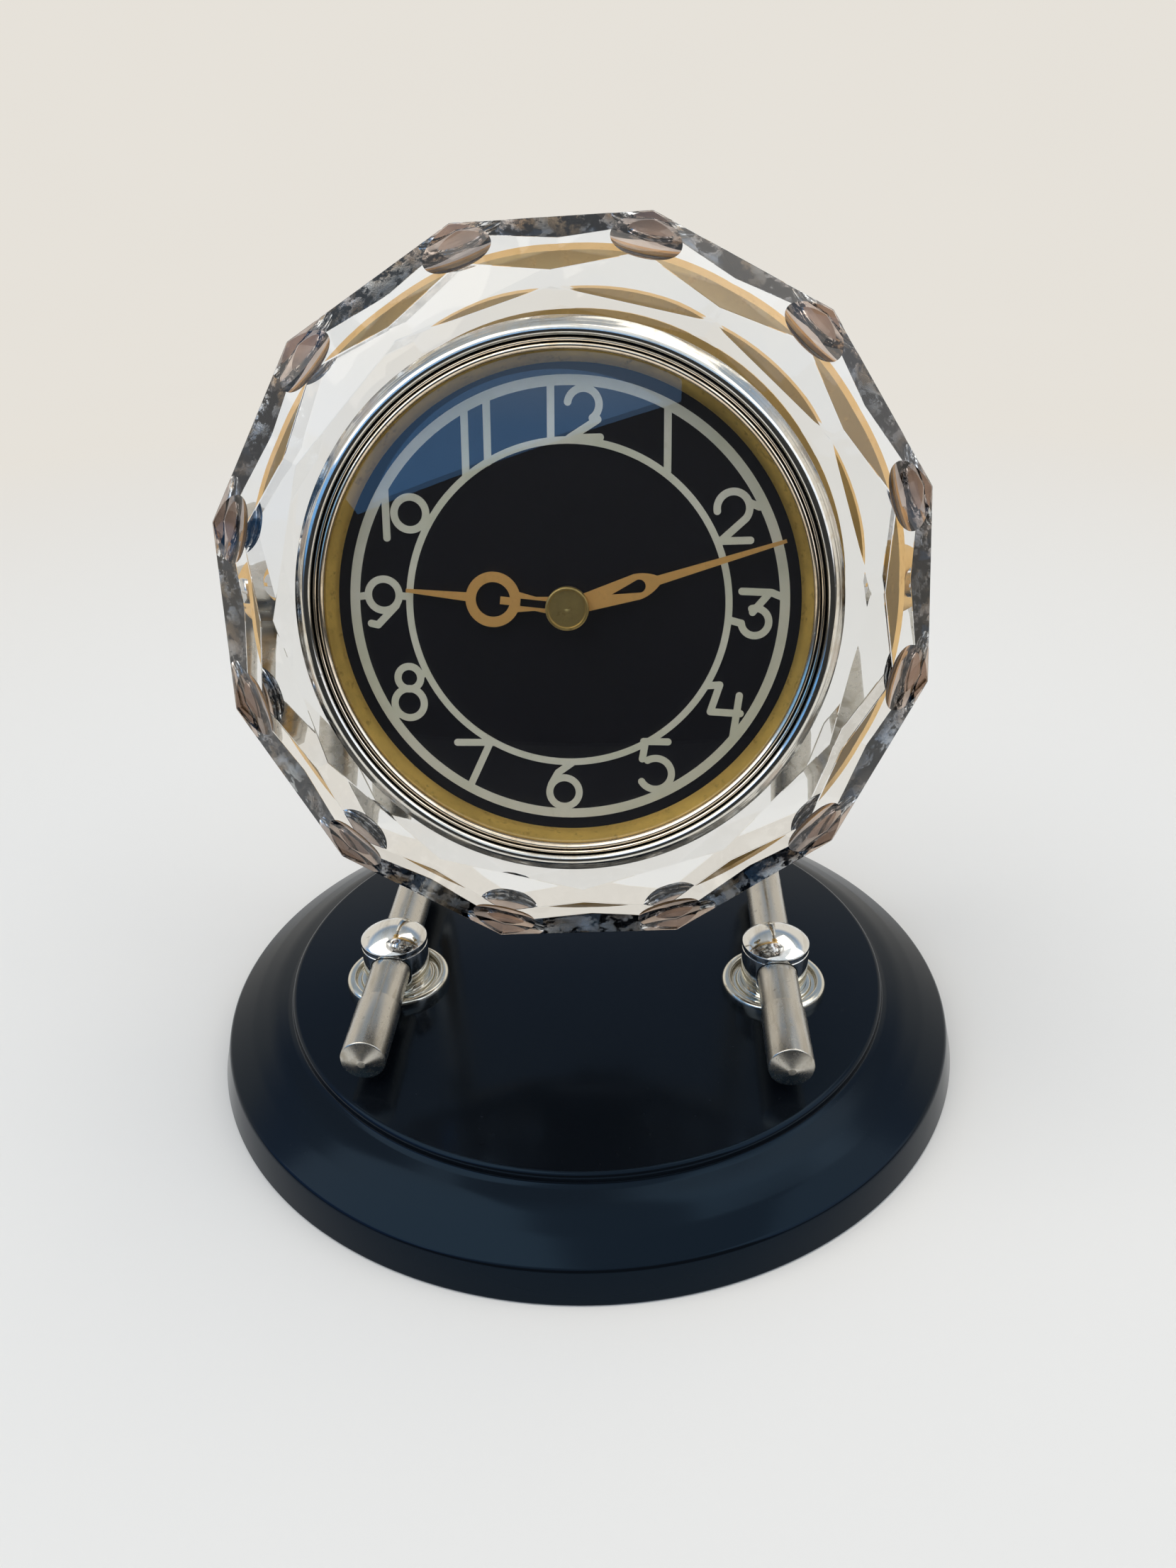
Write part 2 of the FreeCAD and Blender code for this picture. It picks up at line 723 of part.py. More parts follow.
# Hands, drawn along +x and turned to the time shown
hour_top = -hour_hand_front
ring_start = hour_ring_offset - hour_ring_radius
ring_end = hour_ring_offset + hour_ring_radius
hour_hand = bar(hour_boss_radius, hour_top, hour_top - hour_hand_thickness)
neck = plate([(0, -hour_neck_half), ((hour_boss_radius + ring_start) / 2, -hour_neck_waist),
              (ring_start + pointer_half, -hour_neck_half), (ring_start + pointer_half, hour_neck_half),
              ((hour_boss_radius + ring_start) / 2, hour_neck_waist), (0, hour_neck_half)],
             hour_top, hour_hand_thickness)
ring_plate = bar(hour_ring_radius, hour_top, hour_top - hour_hand_thickness, hour_ring_offset)
pointer = plate([(ring_end - pointer_half, -pointer_half), (hour_length, -pointer_tip_half),
                 (hour_length, pointer_tip_half), (ring_end - pointer_half, pointer_half)],
                hour_top, hour_hand_thickness)
hour_hand = hour_hand.multiFuse([neck, ring_plate, pointer])
eye = bar(hour_ring_hole, cut_overrun, -cut_overrun + hour_top - hour_hand_thickness, hour_ring_offset)
slot = Part.makeBox(ring_start - hour_boss_radius, 2 * hour_neck_slot, 2 * cut_overrun)
slot.translate(Vector(hour_boss_radius, -hour_neck_slot, hour_top - cut_overrun))
hour_hand = hour_hand.cut(eye).cut(slot)
stub = Part.makeBox(hour_stub_length, hour_stub_width, hour_hand_thickness)
stub.translate(Vector(hour_ring_offset - hour_ring_hole - pointer_tip_half, -hour_stub_width / 2,
                      hour_top - hour_hand_thickness))
hour_hand = hour_hand.fuse(stub)
hour_hand = hour_hand.cut(bar(hour_pipe_radius + press_gap, cut_overrun, hour_top - cut_overrun))
save_head("hour_hand", turn_about(hour_hand, hour_angle))

minute_bottom = -minute_hand_back
minute_top = minute_bottom + minute_hand_thickness
minute_hand = bar(minute_boss_radius, minute_top, minute_bottom)
leaf_side = (minute_leaf_offset, minute_leaf_half)
leaf_end = (minute_leaf_end, pointer_half)
leaf_bulge = bulge(leaf_side, leaf_end, (minute_leaf_end, minute_leaf_half), rounding_share / 2)
leaf = plate([(0, -minute_foot_half), (leaf_side[0], -leaf_side[1]),
              ((leaf_bulge[0], -leaf_bulge[1]), (leaf_end[0], -leaf_end[1])),
              (minute_length, -pointer_tip_half), (minute_length, pointer_tip_half), leaf_end,
              (leaf_bulge, leaf_side), (0, minute_foot_half)], minute_top, minute_hand_thickness)
opening = plate([(minute_slot_start, 0), (minute_slot_round, -minute_slot_half),
                 ((minute_slot_round + minute_slot_half, 0), (minute_slot_round, minute_slot_half))],
                minute_top + cut_overrun, minute_hand_thickness + 2 * cut_overrun)
minute_hand = minute_hand.fuse(leaf).cut(opening)
arbor_hole = bar(arbor_radius + press_gap, minute_top + cut_overrun, minute_bottom - cut_overrun)
minute_hand = minute_hand.cut(arbor_hole)
save_head("minute_hand", turn_about(minute_hand, minute_angle))

cap_top = minute_top + cap_height
cap_floor = cap_top - cap_rim_depth
cap_in = cap_radius - cap_rim_width
hub_cap = turned([(0, minute_top + cap_bore_depth), (arbor_radius + press_gap, minute_top + cap_bore_depth),
                  (arbor_radius + press_gap, minute_top), (cap_radius, minute_top), (cap_radius, cap_floor),
                  (bulge((cap_radius, cap_floor), (cap_in, cap_top), (cap_radius, cap_top), rounding_share),
                   (cap_in, cap_top)),
                  (cap_in - cap_rim_width / 2, cap_floor), (0, cap_floor + cap_rim_depth / 2)])
save_head("hub_cap", hub_cap)


# Wheels and pinions
def toothed(teeth, module, shares, front, thickness, phase, bore=0):
    addendum_share, dedendum_share, root_share, tip_share = shares
    pitch_radius = teeth * module / 2
    root = pitch_radius - dedendum_share * module
    tip = pitch_radius + addendum_share * module
    pitch = 360 / teeth
    points = []
    for tooth in range(teeth):
        centre = phase + tooth * pitch
        for radius, part_share in ((root, -root_share), (tip, -tip_share),
                                   (tip, tip_share), (root, root_share)):
            x, y = polar(radius, centre + part_share * pitch)
            points.append(Vector(x, y, front - thickness))
    wires = [Part.makePolygon(points + points[:1])]
    if bore:
        wires.append(Part.Wire([Part.makeCircle(bore, Vector(0, 0, front - thickness))]))
    return Part.Face(wires, "Part::FaceMakerBullseye").extrude(Vector(0, 0, thickness))


wheel_shares = (wheel_addendum_share, wheel_dedendum_share, wheel_root_share, wheel_tip_share)
pinion_shares = (pinion_addendum_share, pinion_dedendum_share, pinion_root_share, pinion_tip_share)


def spoked(wheel, radius, front, thickness):
    """Crossings cut through a wheel between rim and hub."""
    inner = radius * wheel_hub_share
    outer = radius * wheel_rim_share
    width = radius * spoke_width_share
    window = pipe(outer, inner, front + cut_overrun, front - thickness - cut_overrun)
    for number in range(wheel_spokes):
        spoke = Part.makeBox(outer + cut_overrun, 2 * width, thickness + 4 * cut_overrun)
        spoke.translate(Vector(0, -width, front - thickness - 2 * cut_overrun))
        window = window.cut(turn_about(spoke, number * 360 / wheel_spokes))
    return wheel.cut(window)


def gap_phase(teeth, angle):
    return angle + 180 / teeth


front_plate_back = -(front_plate_depth + plate_thickness)
back_plate_front = front_plate_back - plate_spacing
back_plate_back = back_plate_front - plate_thickness


def arbor(radius):
    """Plain arbor between the plates with a pivot at each end."""
    top = front_plate_back - shoulder_gap
    bottom = back_plate_front + shoulder_gap
    body = bar(radius, top, bottom)
    body = body.fuse(bar(pivot_radius, top + plate_thickness, bottom - plate_thickness))
    return body


centre_distance = (intermediate_teeth + centre_pinion_leaves) * intermediate_module / 2
intermediate_place = polar(centre_distance, intermediate_angle)
barrel_place = polar(barrel_offset, barrel_angle)
third_place = polar((centre_teeth + third_leaves) * centre_module / 2, third_angle)
fourth_place = polar((third_teeth + fourth_leaves) * third_module / 2, fourth_angle, third_place)
escape_place = polar((fourth_teeth + escape_leaves) * fourth_module / 2, escape_angle, fourth_place)
lever_place = polar(lever_distance, lever_angle, escape_place)
balance_place = polar(balance_distance, balance_angle, lever_place)
motion_distance = (cannon_leaves + minute_wheel_teeth) * motion_module / 2
minute_place = polar(motion_distance, minute_wheel_angle)
hour_module = 2 * motion_distance / (minute_pinion_leaves + hour_wheel_teeth)
barrel_line = math.degrees(math.atan2(intermediate_place[1] - barrel_place[1],
                                      intermediate_place[0] - barrel_place[0]))

# Barrel, its spring and winding arbor
drum_front = -barrel_front
drum_back = drum_front - barrel_depth
drum = pipe(barrel_drum_radius, barrel_arbor_radius + running_gap, drum_front, drum_back)
spring_room = bar(barrel_drum_radius - barrel_wall, drum_front - barrel_wall, drum_back + barrel_wall)
drum = drum.cut(spring_room)
rack = toothed(barrel_teeth, barrel_module, wheel_shares, drum_back + barrel_tooth_width, barrel_tooth_width,
               barrel_line, barrel_drum_radius - barrel_wall)
save_head("mainspring_barrel", moved(drum.fuse(rack), barrel_place[0], barrel_place[1]))


def spiral(inner, pitch, turns, strip, top, height):
    """Flat coiled strip, walked out in short steps and closed on its other side."""
    steps = int(turns * 24)
    outward = []
    inward = []
    for step in range(steps + 1):
        angle = step * 360 / 24
        radius = inner + pitch * step / 24
        outward.append(polar(radius, angle))
        inward.append(polar(radius + strip, angle))
    curves = []
    for side in (outward, inward):
        curve = Part.BSplineCurve()
        curve.interpolate([Vector(x, y, top - height) for x, y in side])
        curves.append(curve.toShape())
    closing = [Part.makeLine(curves[0].Vertexes[place].Point, curves[1].Vertexes[place].Point)
               for place in (0, -1)]
    face = Part.Face(Part.Wire([curves[0], closing[1], curves[1], closing[0]]))
    return face.extrude(Vector(0, 0, height))


spring_inner = barrel_hub_radius
spring_outer = barrel_drum_radius - barrel_wall - spring_gap
spring_turns = (spring_outer - spring_inner) / spring_pitch
spring_top = drum_front - barrel_wall - seat_gap
spring_height = barrel_depth - 2 * barrel_wall - 2 * seat_gap
mainspring = spiral(spring_inner, spring_pitch, spring_turns, spring_strip, spring_top, spring_height)
end_angle = int(spring_turns * 24) * 360 / 24
hook_in = spring_inner + spring_pitch * int(spring_turns * 24) / 24
hook = Part.makeBox(barrel_drum_radius - barrel_wall - press_gap - hook_in, 2 * spring_strip, spring_height)
hook.translate(Vector(hook_in, -2 * spring_strip, spring_top - spring_height))
mainspring = mainspring.fuse(turn_about(hook, end_angle))
save_head("mainspring", moved(mainspring, barrel_place[0], barrel_place[1]))

cover_back = -(socket_floor + cover_depth)
key_bottom = cover_back - key_gap - key_boss_height
winding_arbor = bar(barrel_arbor_radius, front_plate_back - shoulder_gap, back_plate_front + shoulder_gap)
winding_pivot_top = front_plate_back - shoulder_gap + plate_thickness
winding_arbor = winding_arbor.fuse(bar(winding_pivot_radius, winding_pivot_top,
                                       key_bottom + key_boss_height / 2))
hub = bar(barrel_hub_radius - running_gap, spring_top, spring_top - spring_height)
winding_arbor = winding_arbor.fuse(hub)
save_head("barrel_arbor", moved(winding_arbor, barrel_place[0], barrel_place[1]))

ratchet_front = back_plate_back - ratchet_gap
ratchet_pitch = 360 / ratchet_teeth
ratchet_points = []
for tooth in range(ratchet_teeth):
    ratchet_points.append(polar(ratchet_root_radius, tooth * ratchet_pitch))
    ratchet_points.append(polar(ratchet_radius, (tooth + pinion_root_share) * ratchet_pitch))
ratchet = plate(ratchet_points, ratchet_front, ratchet_thickness)
ratchet_bore = winding_pivot_radius + press_gap
ratchet = ratchet.cut(bar(ratchet_bore, 0, ratchet_front - ratchet_thickness - cut_overrun))
save_head("ratchet_wheel", moved(ratchet, barrel_place[0], barrel_place[1]))

click_place = polar(click_pivot_offset, click_pivot_angle, barrel_place)
click_line = click_pivot_angle + 180
click = bar(click_hub_radius, ratchet_front, ratchet_front - ratchet_thickness)
click_tip = polar(ratchet_radius + running_gap + click_half, click_pivot_angle - 2 * ratchet_pitch)
click_end = (click_tip[0] - polar(click_pivot_offset, click_pivot_angle)[0],
             click_tip[1] - polar(click_pivot_offset, click_pivot_angle)[1])
click_turn = math.degrees(math.atan2(click_end[1], click_end[0]))
click_run = math.dist(click_end, (0, 0))
beak = plate([(0, -click_half), (click_run - click_half, -click_half), (click_run - seat_gap, 0),
              (click_run - click_half, click_half), (0, click_half)], ratchet_front, ratchet_thickness)
click = click.fuse(turn_about(beak, click_turn))
click = click.cut(bar(click_pivot_radius + running_gap, 0, ratchet_front - ratchet_thickness - cut_overrun))
save_head("click", moved(click, click_place[0], click_place[1]))

key_top = key_bottom + key_boss_height
winding_key = bar(key_boss_radius, key_top, key_bottom)
wing_round = key_wing_round
wing = plate([(-key_boss_radius, 0), (key_boss_radius, 0),
              (key_wing_half, key_wing_height - 2 * wing_round),
              ((key_wing_half - wing_round * rounding_share, key_wing_height - wing_round * rounding_share),
               (key_wing_half - wing_round, key_wing_height)),
              ((0, key_wing_height - wing_round / 2), (wing_round - key_wing_half, key_wing_height)),
              ((wing_round * rounding_share - key_wing_half, key_wing_height - wing_round * rounding_share),
               (-key_wing_half, key_wing_height - 2 * wing_round))], key_wing_thickness, key_wing_thickness)
for side in (-1, 1):
    wing = wing.cut(bar(key_hole_radius, 2 * key_wing_thickness, -cut_overrun,
                        side * key_wing_half / 2, key_wing_height / 2))
wing.translate(Vector(0, 0, -key_wing_thickness / 2))
wing.rotate(Vector(0, 0, 0), Vector(1, 0, 0), -90)
wing.translate(Vector(0, 0, key_bottom + key_boss_height / 4))
winding_key = winding_key.fuse(wing)
winding_key = winding_key.cut(bar(ratchet_bore, key_top + cut_overrun, key_bottom + key_boss_height / 2))
save_head("winding_key", moved(winding_key, barrel_place[0], barrel_place[1]))

# Intermediate wheel between barrel and centre pinion
intermediate = toothed(intermediate_teeth, intermediate_module, wheel_shares, -intermediate_wheel_front,
                       wheel_thickness, intermediate_angle + 180)
intermediate = spoked(intermediate, intermediate_teeth * intermediate_module / 2, -intermediate_wheel_front,
                      wheel_thickness)
leaves = toothed(intermediate_leaves, barrel_module, pinion_shares, -intermediate_pinion_front,
                 intermediate_pinion_width, gap_phase(intermediate_leaves, barrel_line + 180))
intermediate = arbor(wheel_arbor_radius).multiFuse([intermediate, leaves])
save_head("intermediate_wheel", moved(intermediate, intermediate_place[0], intermediate_place[1]))

# Centre wheel, its pipe and pinion ride on the centre arbor
centre = toothed(centre_teeth, centre_module, wheel_shares, -centre_wheel_front, wheel_thickness,
                 third_angle)
centre = spoked(centre, centre_teeth * centre_module / 2, -centre_wheel_front, wheel_thickness)
leaves = toothed(centre_pinion_leaves, intermediate_module, pinion_shares, -centre_pinion_front,
                 centre_pinion_width, gap_phase(centre_pinion_leaves, intermediate_angle))
pipe_bottom = back_plate_front + shoulder_gap
centre_pipe = bar(centre_pipe_radius, front_plate_back - shoulder_gap, pipe_bottom)
centre = centre_pipe.multiFuse([centre, leaves])
centre = centre.cut(bar(arbor_radius + running_gap, front_plate_back + cut_overrun,
                        pipe_bottom - cut_overrun))
save_head("centre_wheel", centre)


def train_wheel(name, teeth, module, wheel_front, next_angle, leaf_count, leaf_module, leaf_front,
                leaf_width, last_angle, place):
    wheel = toothed(teeth, module, wheel_shares, -wheel_front, wheel_thickness, next_angle)
    wheel = spoked(wheel, teeth * module / 2, -wheel_front, wheel_thickness)
    leaf = toothed(leaf_count, leaf_module, pinion_shares, -leaf_front, leaf_width,
                   gap_phase(leaf_count, last_angle + 180))
    body = arbor(wheel_arbor_radius).multiFuse([wheel, leaf])
    save_head(name, moved(body, place[0], place[1]))


train_wheel("third_wheel", third_teeth, third_module, third_wheel_front, fourth_angle, third_leaves,
            centre_module, third_pinion_front, third_pinion_width, third_angle, third_place)
train_wheel("fourth_wheel", fourth_teeth, fourth_module, fourth_wheel_front, escape_angle, fourth_leaves,
            third_module, fourth_pinion_front, fourth_pinion_width, fourth_angle, fourth_place)

escape_pitch = 360 / escape_teeth
escape_points = []
for tooth in range(escape_teeth):
    escape_points.append(polar(escape_root_radius, tooth * escape_pitch))
    escape_points.append(polar(escape_radius, (tooth + pinion_root_share) * escape_pitch))
    escape_points.append(polar(escape_radius, (tooth + wheel_root_share) * escape_pitch))
escape = plate(escape_points, -escape_wheel_front, wheel_thickness)
escape = spoked(escape, escape_root_radius, -escape_wheel_front, wheel_thickness)
leaves = toothed(escape_leaves, fourth_module, pinion_shares, -escape_pinion_front, escape_pinion_width,
                 gap_phase(escape_leaves, escape_angle + 180))
escape = arbor(pivot_radius + wheel_arbor_radius / 4).multiFuse([escape, leaves])
save_head("escape_wheel", moved(escape, escape_place[0], escape_place[1]))

# Lever with two pallets toward the escape wheel and a fork toward the balance
lever = bar(lever_hub_radius, -lever_front, -lever_front - lever_thickness)
beam = plate([(0, -lever_half), (lever_arm, -lever_half), (lever_arm, -fork_half),
              (lever_arm + fork_length, -fork_half), (lever_arm + fork_length, -fork_slot_half),
              (lever_arm + fork_length / 2, -fork_slot_half), (lever_arm + fork_length / 2, fork_slot_half),
              (lever_arm + fork_length, fork_slot_half), (lever_arm + fork_length, fork_half),
              (lever_arm, fork_half), (lever_arm, lever_half), (0, lever_half)],
             -lever_front, lever_thickness)
cross = plate([(-pallet_thickness, -pallet_spread), (0, -pallet_spread), (0, pallet_spread),
               (-pallet_thickness, pallet_spread)], -lever_front, lever_thickness)
pallets = []
for side in (-1, 1):
    tooth = plate([(-pallet_reach, side * pallet_spread), (0, side * pallet_spread),
                   (0, side * (pallet_spread - pallet_thickness)),
                   (-pallet_reach + pallet_thickness / 2, side * (pallet_spread - pallet_thickness))],
                  -lever_front, lever_thickness)
    pallets.append(tooth)
lever = lever.multiFuse([turn_about(beam, balance_angle), turn_about(cross, lever_angle)]
                        + [turn_about(tooth, lever_angle) for tooth in pallets])
lever = lever.fuse(arbor(pivot_radius + wheel_arbor_radius / 4))
save_head("pallet_lever", moved(lever, lever_place[0], lever_place[1]))

balance_back = -balance_front - balance_thickness
balance = pipe(balance_radius, balance_radius - balance_rim, -balance_front, balance_back)
spoke = Part.makeBox(2 * balance_radius - balance_rim, 2 * balance_spoke_half, balance_thickness / 2)
spoke.translate(Vector(balance_rim / 2 - balance_radius, -balance_spoke_half,
                       -balance_front - balance_thickness / 2))
roller = bar(roller_radius, -roller_front, -roller_front - roller_thickness)
collet = bar(collet_radius, -hairspring_front + hairspring_height, -hairspring_front - 2 * hairspring_height)
balance = arbor(wheel_arbor_radius).multiFuse([balance, turn_about(spoke, balance_angle), roller, collet])
save_head("balance_wheel", moved(balance, balance_place[0], balance_place[1]))

hair_inner = collet_radius + running_gap
hairspring = spiral(hair_inner + hairspring_strip, hairspring_pitch, hairspring_turns, hairspring_strip,
                    -hairspring_front, hairspring_height)
hairspring = hairspring.fuse(pipe(hair_inner + 2 * hairspring_strip, hair_inner, -hairspring_front,
                                  -hairspring_front - hairspring_height))
hair_outer = hair_inner + hairspring_strip + hairspring_pitch * hairspring_turns
block = Part.makeBox(stud_block, stud_block, -hairspring_front - back_plate_front)
block.translate(Vector(hair_outer, -stud_block / 2, back_plate_front))
hairspring = hairspring.fuse(block)
save_head("hairspring", moved(hairspring, balance_place[0], balance_place[1]))

regulator_top = back_plate_back
regulator = bar(regulator_radius, regulator_top, regulator_top - regulator_thickness)
arm = Part.makeBox(regulator_length, 2 * regulator_half, regulator_thickness)
arm.translate(Vector(0, -regulator_half, regulator_top - regulator_thickness))
regulator = regulator.fuse(turn_about(arm, balance_angle + 90))
regulator = regulator.cut(bar(regulator_bore, 0, regulator_top - cut_overrun))
save_head("regulator_lever", moved(regulator, balance_place[0], balance_place[1]))

# Motion work under the dial
cannon_back = -(front_plate_depth - shoulder_gap)
cannon_front = -cannon_front_depth
leaves = toothed(cannon_leaves, motion_module, pinion_shares, cannon_front, cannon_front - cannon_back,
                 gap_phase(cannon_leaves, minute_wheel_angle))
cannon = bar(cannon_pipe_radius, minute_bottom, cannon_back).fuse(leaves)
cannon = cannon.cut(bar(arbor_radius + press_gap, cut_overrun, cannon_back - cut_overrun))
save_head("cannon_pinion", cannon)

minute_wheel = toothed(minute_wheel_teeth, motion_module, wheel_shares, -minute_wheel_front,
                       motion_thickness, minute_wheel_angle + 180)
minute_leaves = toothed(minute_pinion_leaves, hour_module, pinion_shares, -minute_pinion_front,
                        minute_wheel_front - minute_pinion_front + motion_thickness / 2,
                        gap_phase(minute_pinion_leaves, minute_wheel_angle + 180))
minute_wheel = minute_wheel.fuse(minute_leaves)
minute_wheel = minute_wheel.cut(bar(minute_stud_radius + running_gap, 0, cannon_back))
save_head("minute_wheel", moved(minute_wheel, minute_place[0], minute_place[1]))

hour_wheel = toothed(hour_wheel_teeth, hour_module, wheel_shares, -hour_wheel_front, motion_thickness,
                     minute_wheel_angle)
hour_wheel = hour_wheel.fuse(bar(hour_pipe_radius, hour_top, -hour_wheel_front - motion_thickness))
hour_bore = bar(cannon_pipe_radius + running_gap, 0, -hour_wheel_front - 2 * motion_thickness)
hour_wheel = hour_wheel.cut(hour_bore)
save_head("hour_wheel", hour_wheel)

# Centre arbor runs from the cap to the knob behind the cover
knob_front = cover_back - knob_gap
knob_back = knob_front - knob_height
centre_arbor = bar(arbor_radius, minute_top + cap_bore_depth - seat_gap, knob_back + knob_height / 3)
save_head("centre_arbor", centre_arbor)
setting_knob = bar(knob_radius, knob_front, knob_back)
setting_knob = setting_knob.makeChamfer(knob_flute_radius, [edge for edge in setting_knob.Edges
                                                            if edge.Curve.TypeId == "Part::GeomCircle"])
for number in range(knob_flute_count):
    x, y = polar(knob_radius, number * 360 / knob_flute_count)
    flute = bar(knob_flute_radius, knob_front + cut_overrun, knob_back - cut_overrun, x, y)
    setting_knob = setting_knob.cut(flute)
setting_knob = setting_knob.cut(bar(arbor_radius + press_gap, knob_front + cut_overrun,
                                    knob_back + knob_height / 3))
save_head("setting_knob", setting_knob)

# Plates, pillars and spacer
dial_back = dial_front - dial_thickness
save_head("movement_ring", pipe(dial_radius, dial_radius - spacer_width, dial_back, -front_plate_depth))
pivot_hole = pivot_radius + running_gap
pivot_places = [intermediate_place, third_place, fourth_place, escape_place, lever_place, balance_place]
front_plate = bar(dial_radius, -front_plate_depth, front_plate_back)
back_plate = bar(back_plate_radius, back_plate_front, back_plate_back)
for x, y in pivot_places:
    front_plate = front_plate.cut(bar(pivot_hole, 0, back_plate_back, x, y))
    back_plate = back_plate.cut(bar(pivot_hole, back_plate_front + cut_overrun,
                                    back_plate_back - cut_overrun, x, y))
for hole, place in ((arbor_radius + running_gap, (0, 0)),
                    (winding_pivot_radius + running_gap, barrel_place)):
    front_plate = front_plate.cut(bar(hole, 0, back_plate_front, place[0], place[1]))
    back_plate = back_plate.cut(bar(hole, back_plate_front + cut_overrun, back_plate_back - cut_overrun,
                                    place[0], place[1]))
front_plate = front_plate.fuse(bar(minute_stud_radius, -minute_pinion_front, -front_plate_depth,
                                   minute_place[0], minute_place[1]))
jewel = pipe(jewel_radius, pivot_hole, back_plate_back, back_plate_back - jewel_height,
             balance_place[0], balance_place[1])
click_stud = bar(click_pivot_radius, back_plate_back, ratchet_front - ratchet_thickness,
                 click_place[0], click_place[1])
back_plate = back_plate.multiFuse([jewel, click_stud])
for number in range(pillar_count):
    x, y = polar(pillar_circle_radius, pillar_angle + number * 360 / pillar_count)
    pillar = bar(pillar_radius, front_plate_back, back_plate_front, x, y)
    pillar = pillar.fuse(bar(pillar_spigot_radius, front_plate_back + plate_thickness / 2,
                             back_plate_back, x, y))
    save_head("pillar_" + str(number + 1), pillar)
    spigot_hole = pillar_spigot_radius + press_gap
    front_plate = front_plate.cut(bar(spigot_hole, front_plate_back + plate_thickness / 2, front_plate_back
                                      - cut_overrun, x, y))
    back_plate = back_plate.cut(bar(spigot_hole, back_plate_front + cut_overrun,
                                    back_plate_back - cut_overrun, x, y))
save_head("front_plate", front_plate)
save_head("back_plate", back_plate)

# Rear frame: sleeve inside the tube, ring behind the crystal and two sockets
frame_back = -socket_floor
sleeve_out = tube_inner_radius - press_gap
rear_frame = turned([(sleeve_out - frame_sleeve_wall, front_plate_back), (sleeve_out, front_plate_back),
                     (sleeve_out, tube_back), (frame_radius, tube_back), (frame_radius, frame_back),
                     (frame_opening, frame_back), (frame_opening, tube_back),
                     (sleeve_out - frame_sleeve_wall, tube_back)])
socket_back = frame_back - socket_length
screw_depth = socket_back + rod_screw_place
for side in (-1, 1):
    rear_frame = rear_frame.fuse(bar(socket_radius, tube_back, socket_back, side * post_offset))
for side in (-1, 1):
    rear_frame = rear_frame.cut(bar(rod_radius + press_gap, socket_back + socket_depth,
                                    socket_back - cut_overrun, side * post_offset))
    thread = Part.makeCylinder(rod_screw_radius + press_gap, socket_radius,
                               Vector(side * (post_offset + rod_radius / 2), 0, screw_depth),
                               Vector(side, 0, 0))
    rear_frame = rear_frame.cut(thread)
    rod_screw = screw(rod_screw_radius, socket_radius - rod_radius - seat_gap,
                      rod_screw_head_radius, rod_screw_head_height)
    rod_screw.rotate(Vector(0, 0, 0), Vector(0, 1, 0), side * 90)
    rod_screw.translate(Vector(side * (post_offset + socket_radius + rod_screw_head_height), 0, screw_depth))
    save_head("rod_screw_" + ("left" if side < 0 else "right"), rod_screw)

flange_back = frame_back - cover_flange
shoulder = (cover_shoulder_radius, flange_back)
dome_edge = (cover_dome_radius, cover_back)
inner_edge = (cover_dome_radius - cover_wall / 2, cover_back + cover_wall)
inner_shoulder = (cover_shoulder_radius - cover_wall, flange_back)
back_cover = turned([
    (0, cover_back), (0, cover_back + cover_wall), inner_edge,
    (bulge(inner_edge, inner_shoulder, (inner_shoulder[0], inner_edge[1]), rounding_share), inner_shoulder),
    (inner_shoulder[0], frame_back), (cover_radius, frame_back), (cover_radius, flange_back), shoulder,
    (bulge(shoulder, dome_edge, (shoulder[0], dome_edge[1]), rounding_share), dome_edge)])
for hole, place in ((arbor_radius, (0, 0)), (winding_pivot_radius, barrel_place)):
    back_cover = back_cover.cut(bar(hole + cover_arbor_gap, 0, cover_back - cut_overrun, place[0], place[1]))
for number in range(back_screw_count):
    x, y = polar(back_screw_circle, 90 + number * 360 / back_screw_count)
    hole = bar(back_screw_radius + press_gap, 0, flange_back - cut_overrun, x, y)
    back_cover = back_cover.cut(hole)
    rear_frame = rear_frame.cut(bar(back_screw_radius + press_gap, tube_back, frame_back - cut_overrun,
                                    x, y))
    back_screw = screw(back_screw_radius, back_screw_length, back_screw_head_radius, back_screw_head_height)
    back_screw.rotate(Vector(0, 0, 0), Vector(1, 0, 0), 180)
    save_head("back_screw_" + str(number + 1), moved(back_screw, x, y, flange_back - back_screw_head_height))
save_head("back_cover", back_cover)
save_head("rear_frame", rear_frame)
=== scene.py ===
import bmesh
import bpy
import math
from mathutils import Matrix, Vector


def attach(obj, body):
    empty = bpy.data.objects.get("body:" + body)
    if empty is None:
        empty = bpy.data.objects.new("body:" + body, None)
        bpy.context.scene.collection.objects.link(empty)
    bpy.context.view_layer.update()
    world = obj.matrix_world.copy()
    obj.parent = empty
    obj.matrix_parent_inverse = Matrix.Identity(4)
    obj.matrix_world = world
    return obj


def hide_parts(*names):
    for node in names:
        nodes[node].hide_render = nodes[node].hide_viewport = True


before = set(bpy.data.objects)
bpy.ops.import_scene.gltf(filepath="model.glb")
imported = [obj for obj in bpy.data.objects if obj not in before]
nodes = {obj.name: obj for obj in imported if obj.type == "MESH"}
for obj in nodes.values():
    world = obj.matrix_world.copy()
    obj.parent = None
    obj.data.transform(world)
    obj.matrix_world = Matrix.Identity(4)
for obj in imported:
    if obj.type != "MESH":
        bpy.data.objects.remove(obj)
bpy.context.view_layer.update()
mm = 0.001  # sizes of the object are in millimetres, sizes of the studio in metres
headTilt = math.radians(13.2)
headCentre = Vector((0, -25.61, 93.08)) * mm
mainBody = "stand_and_case"


# Small helpers that stand for what hands do in the viewport

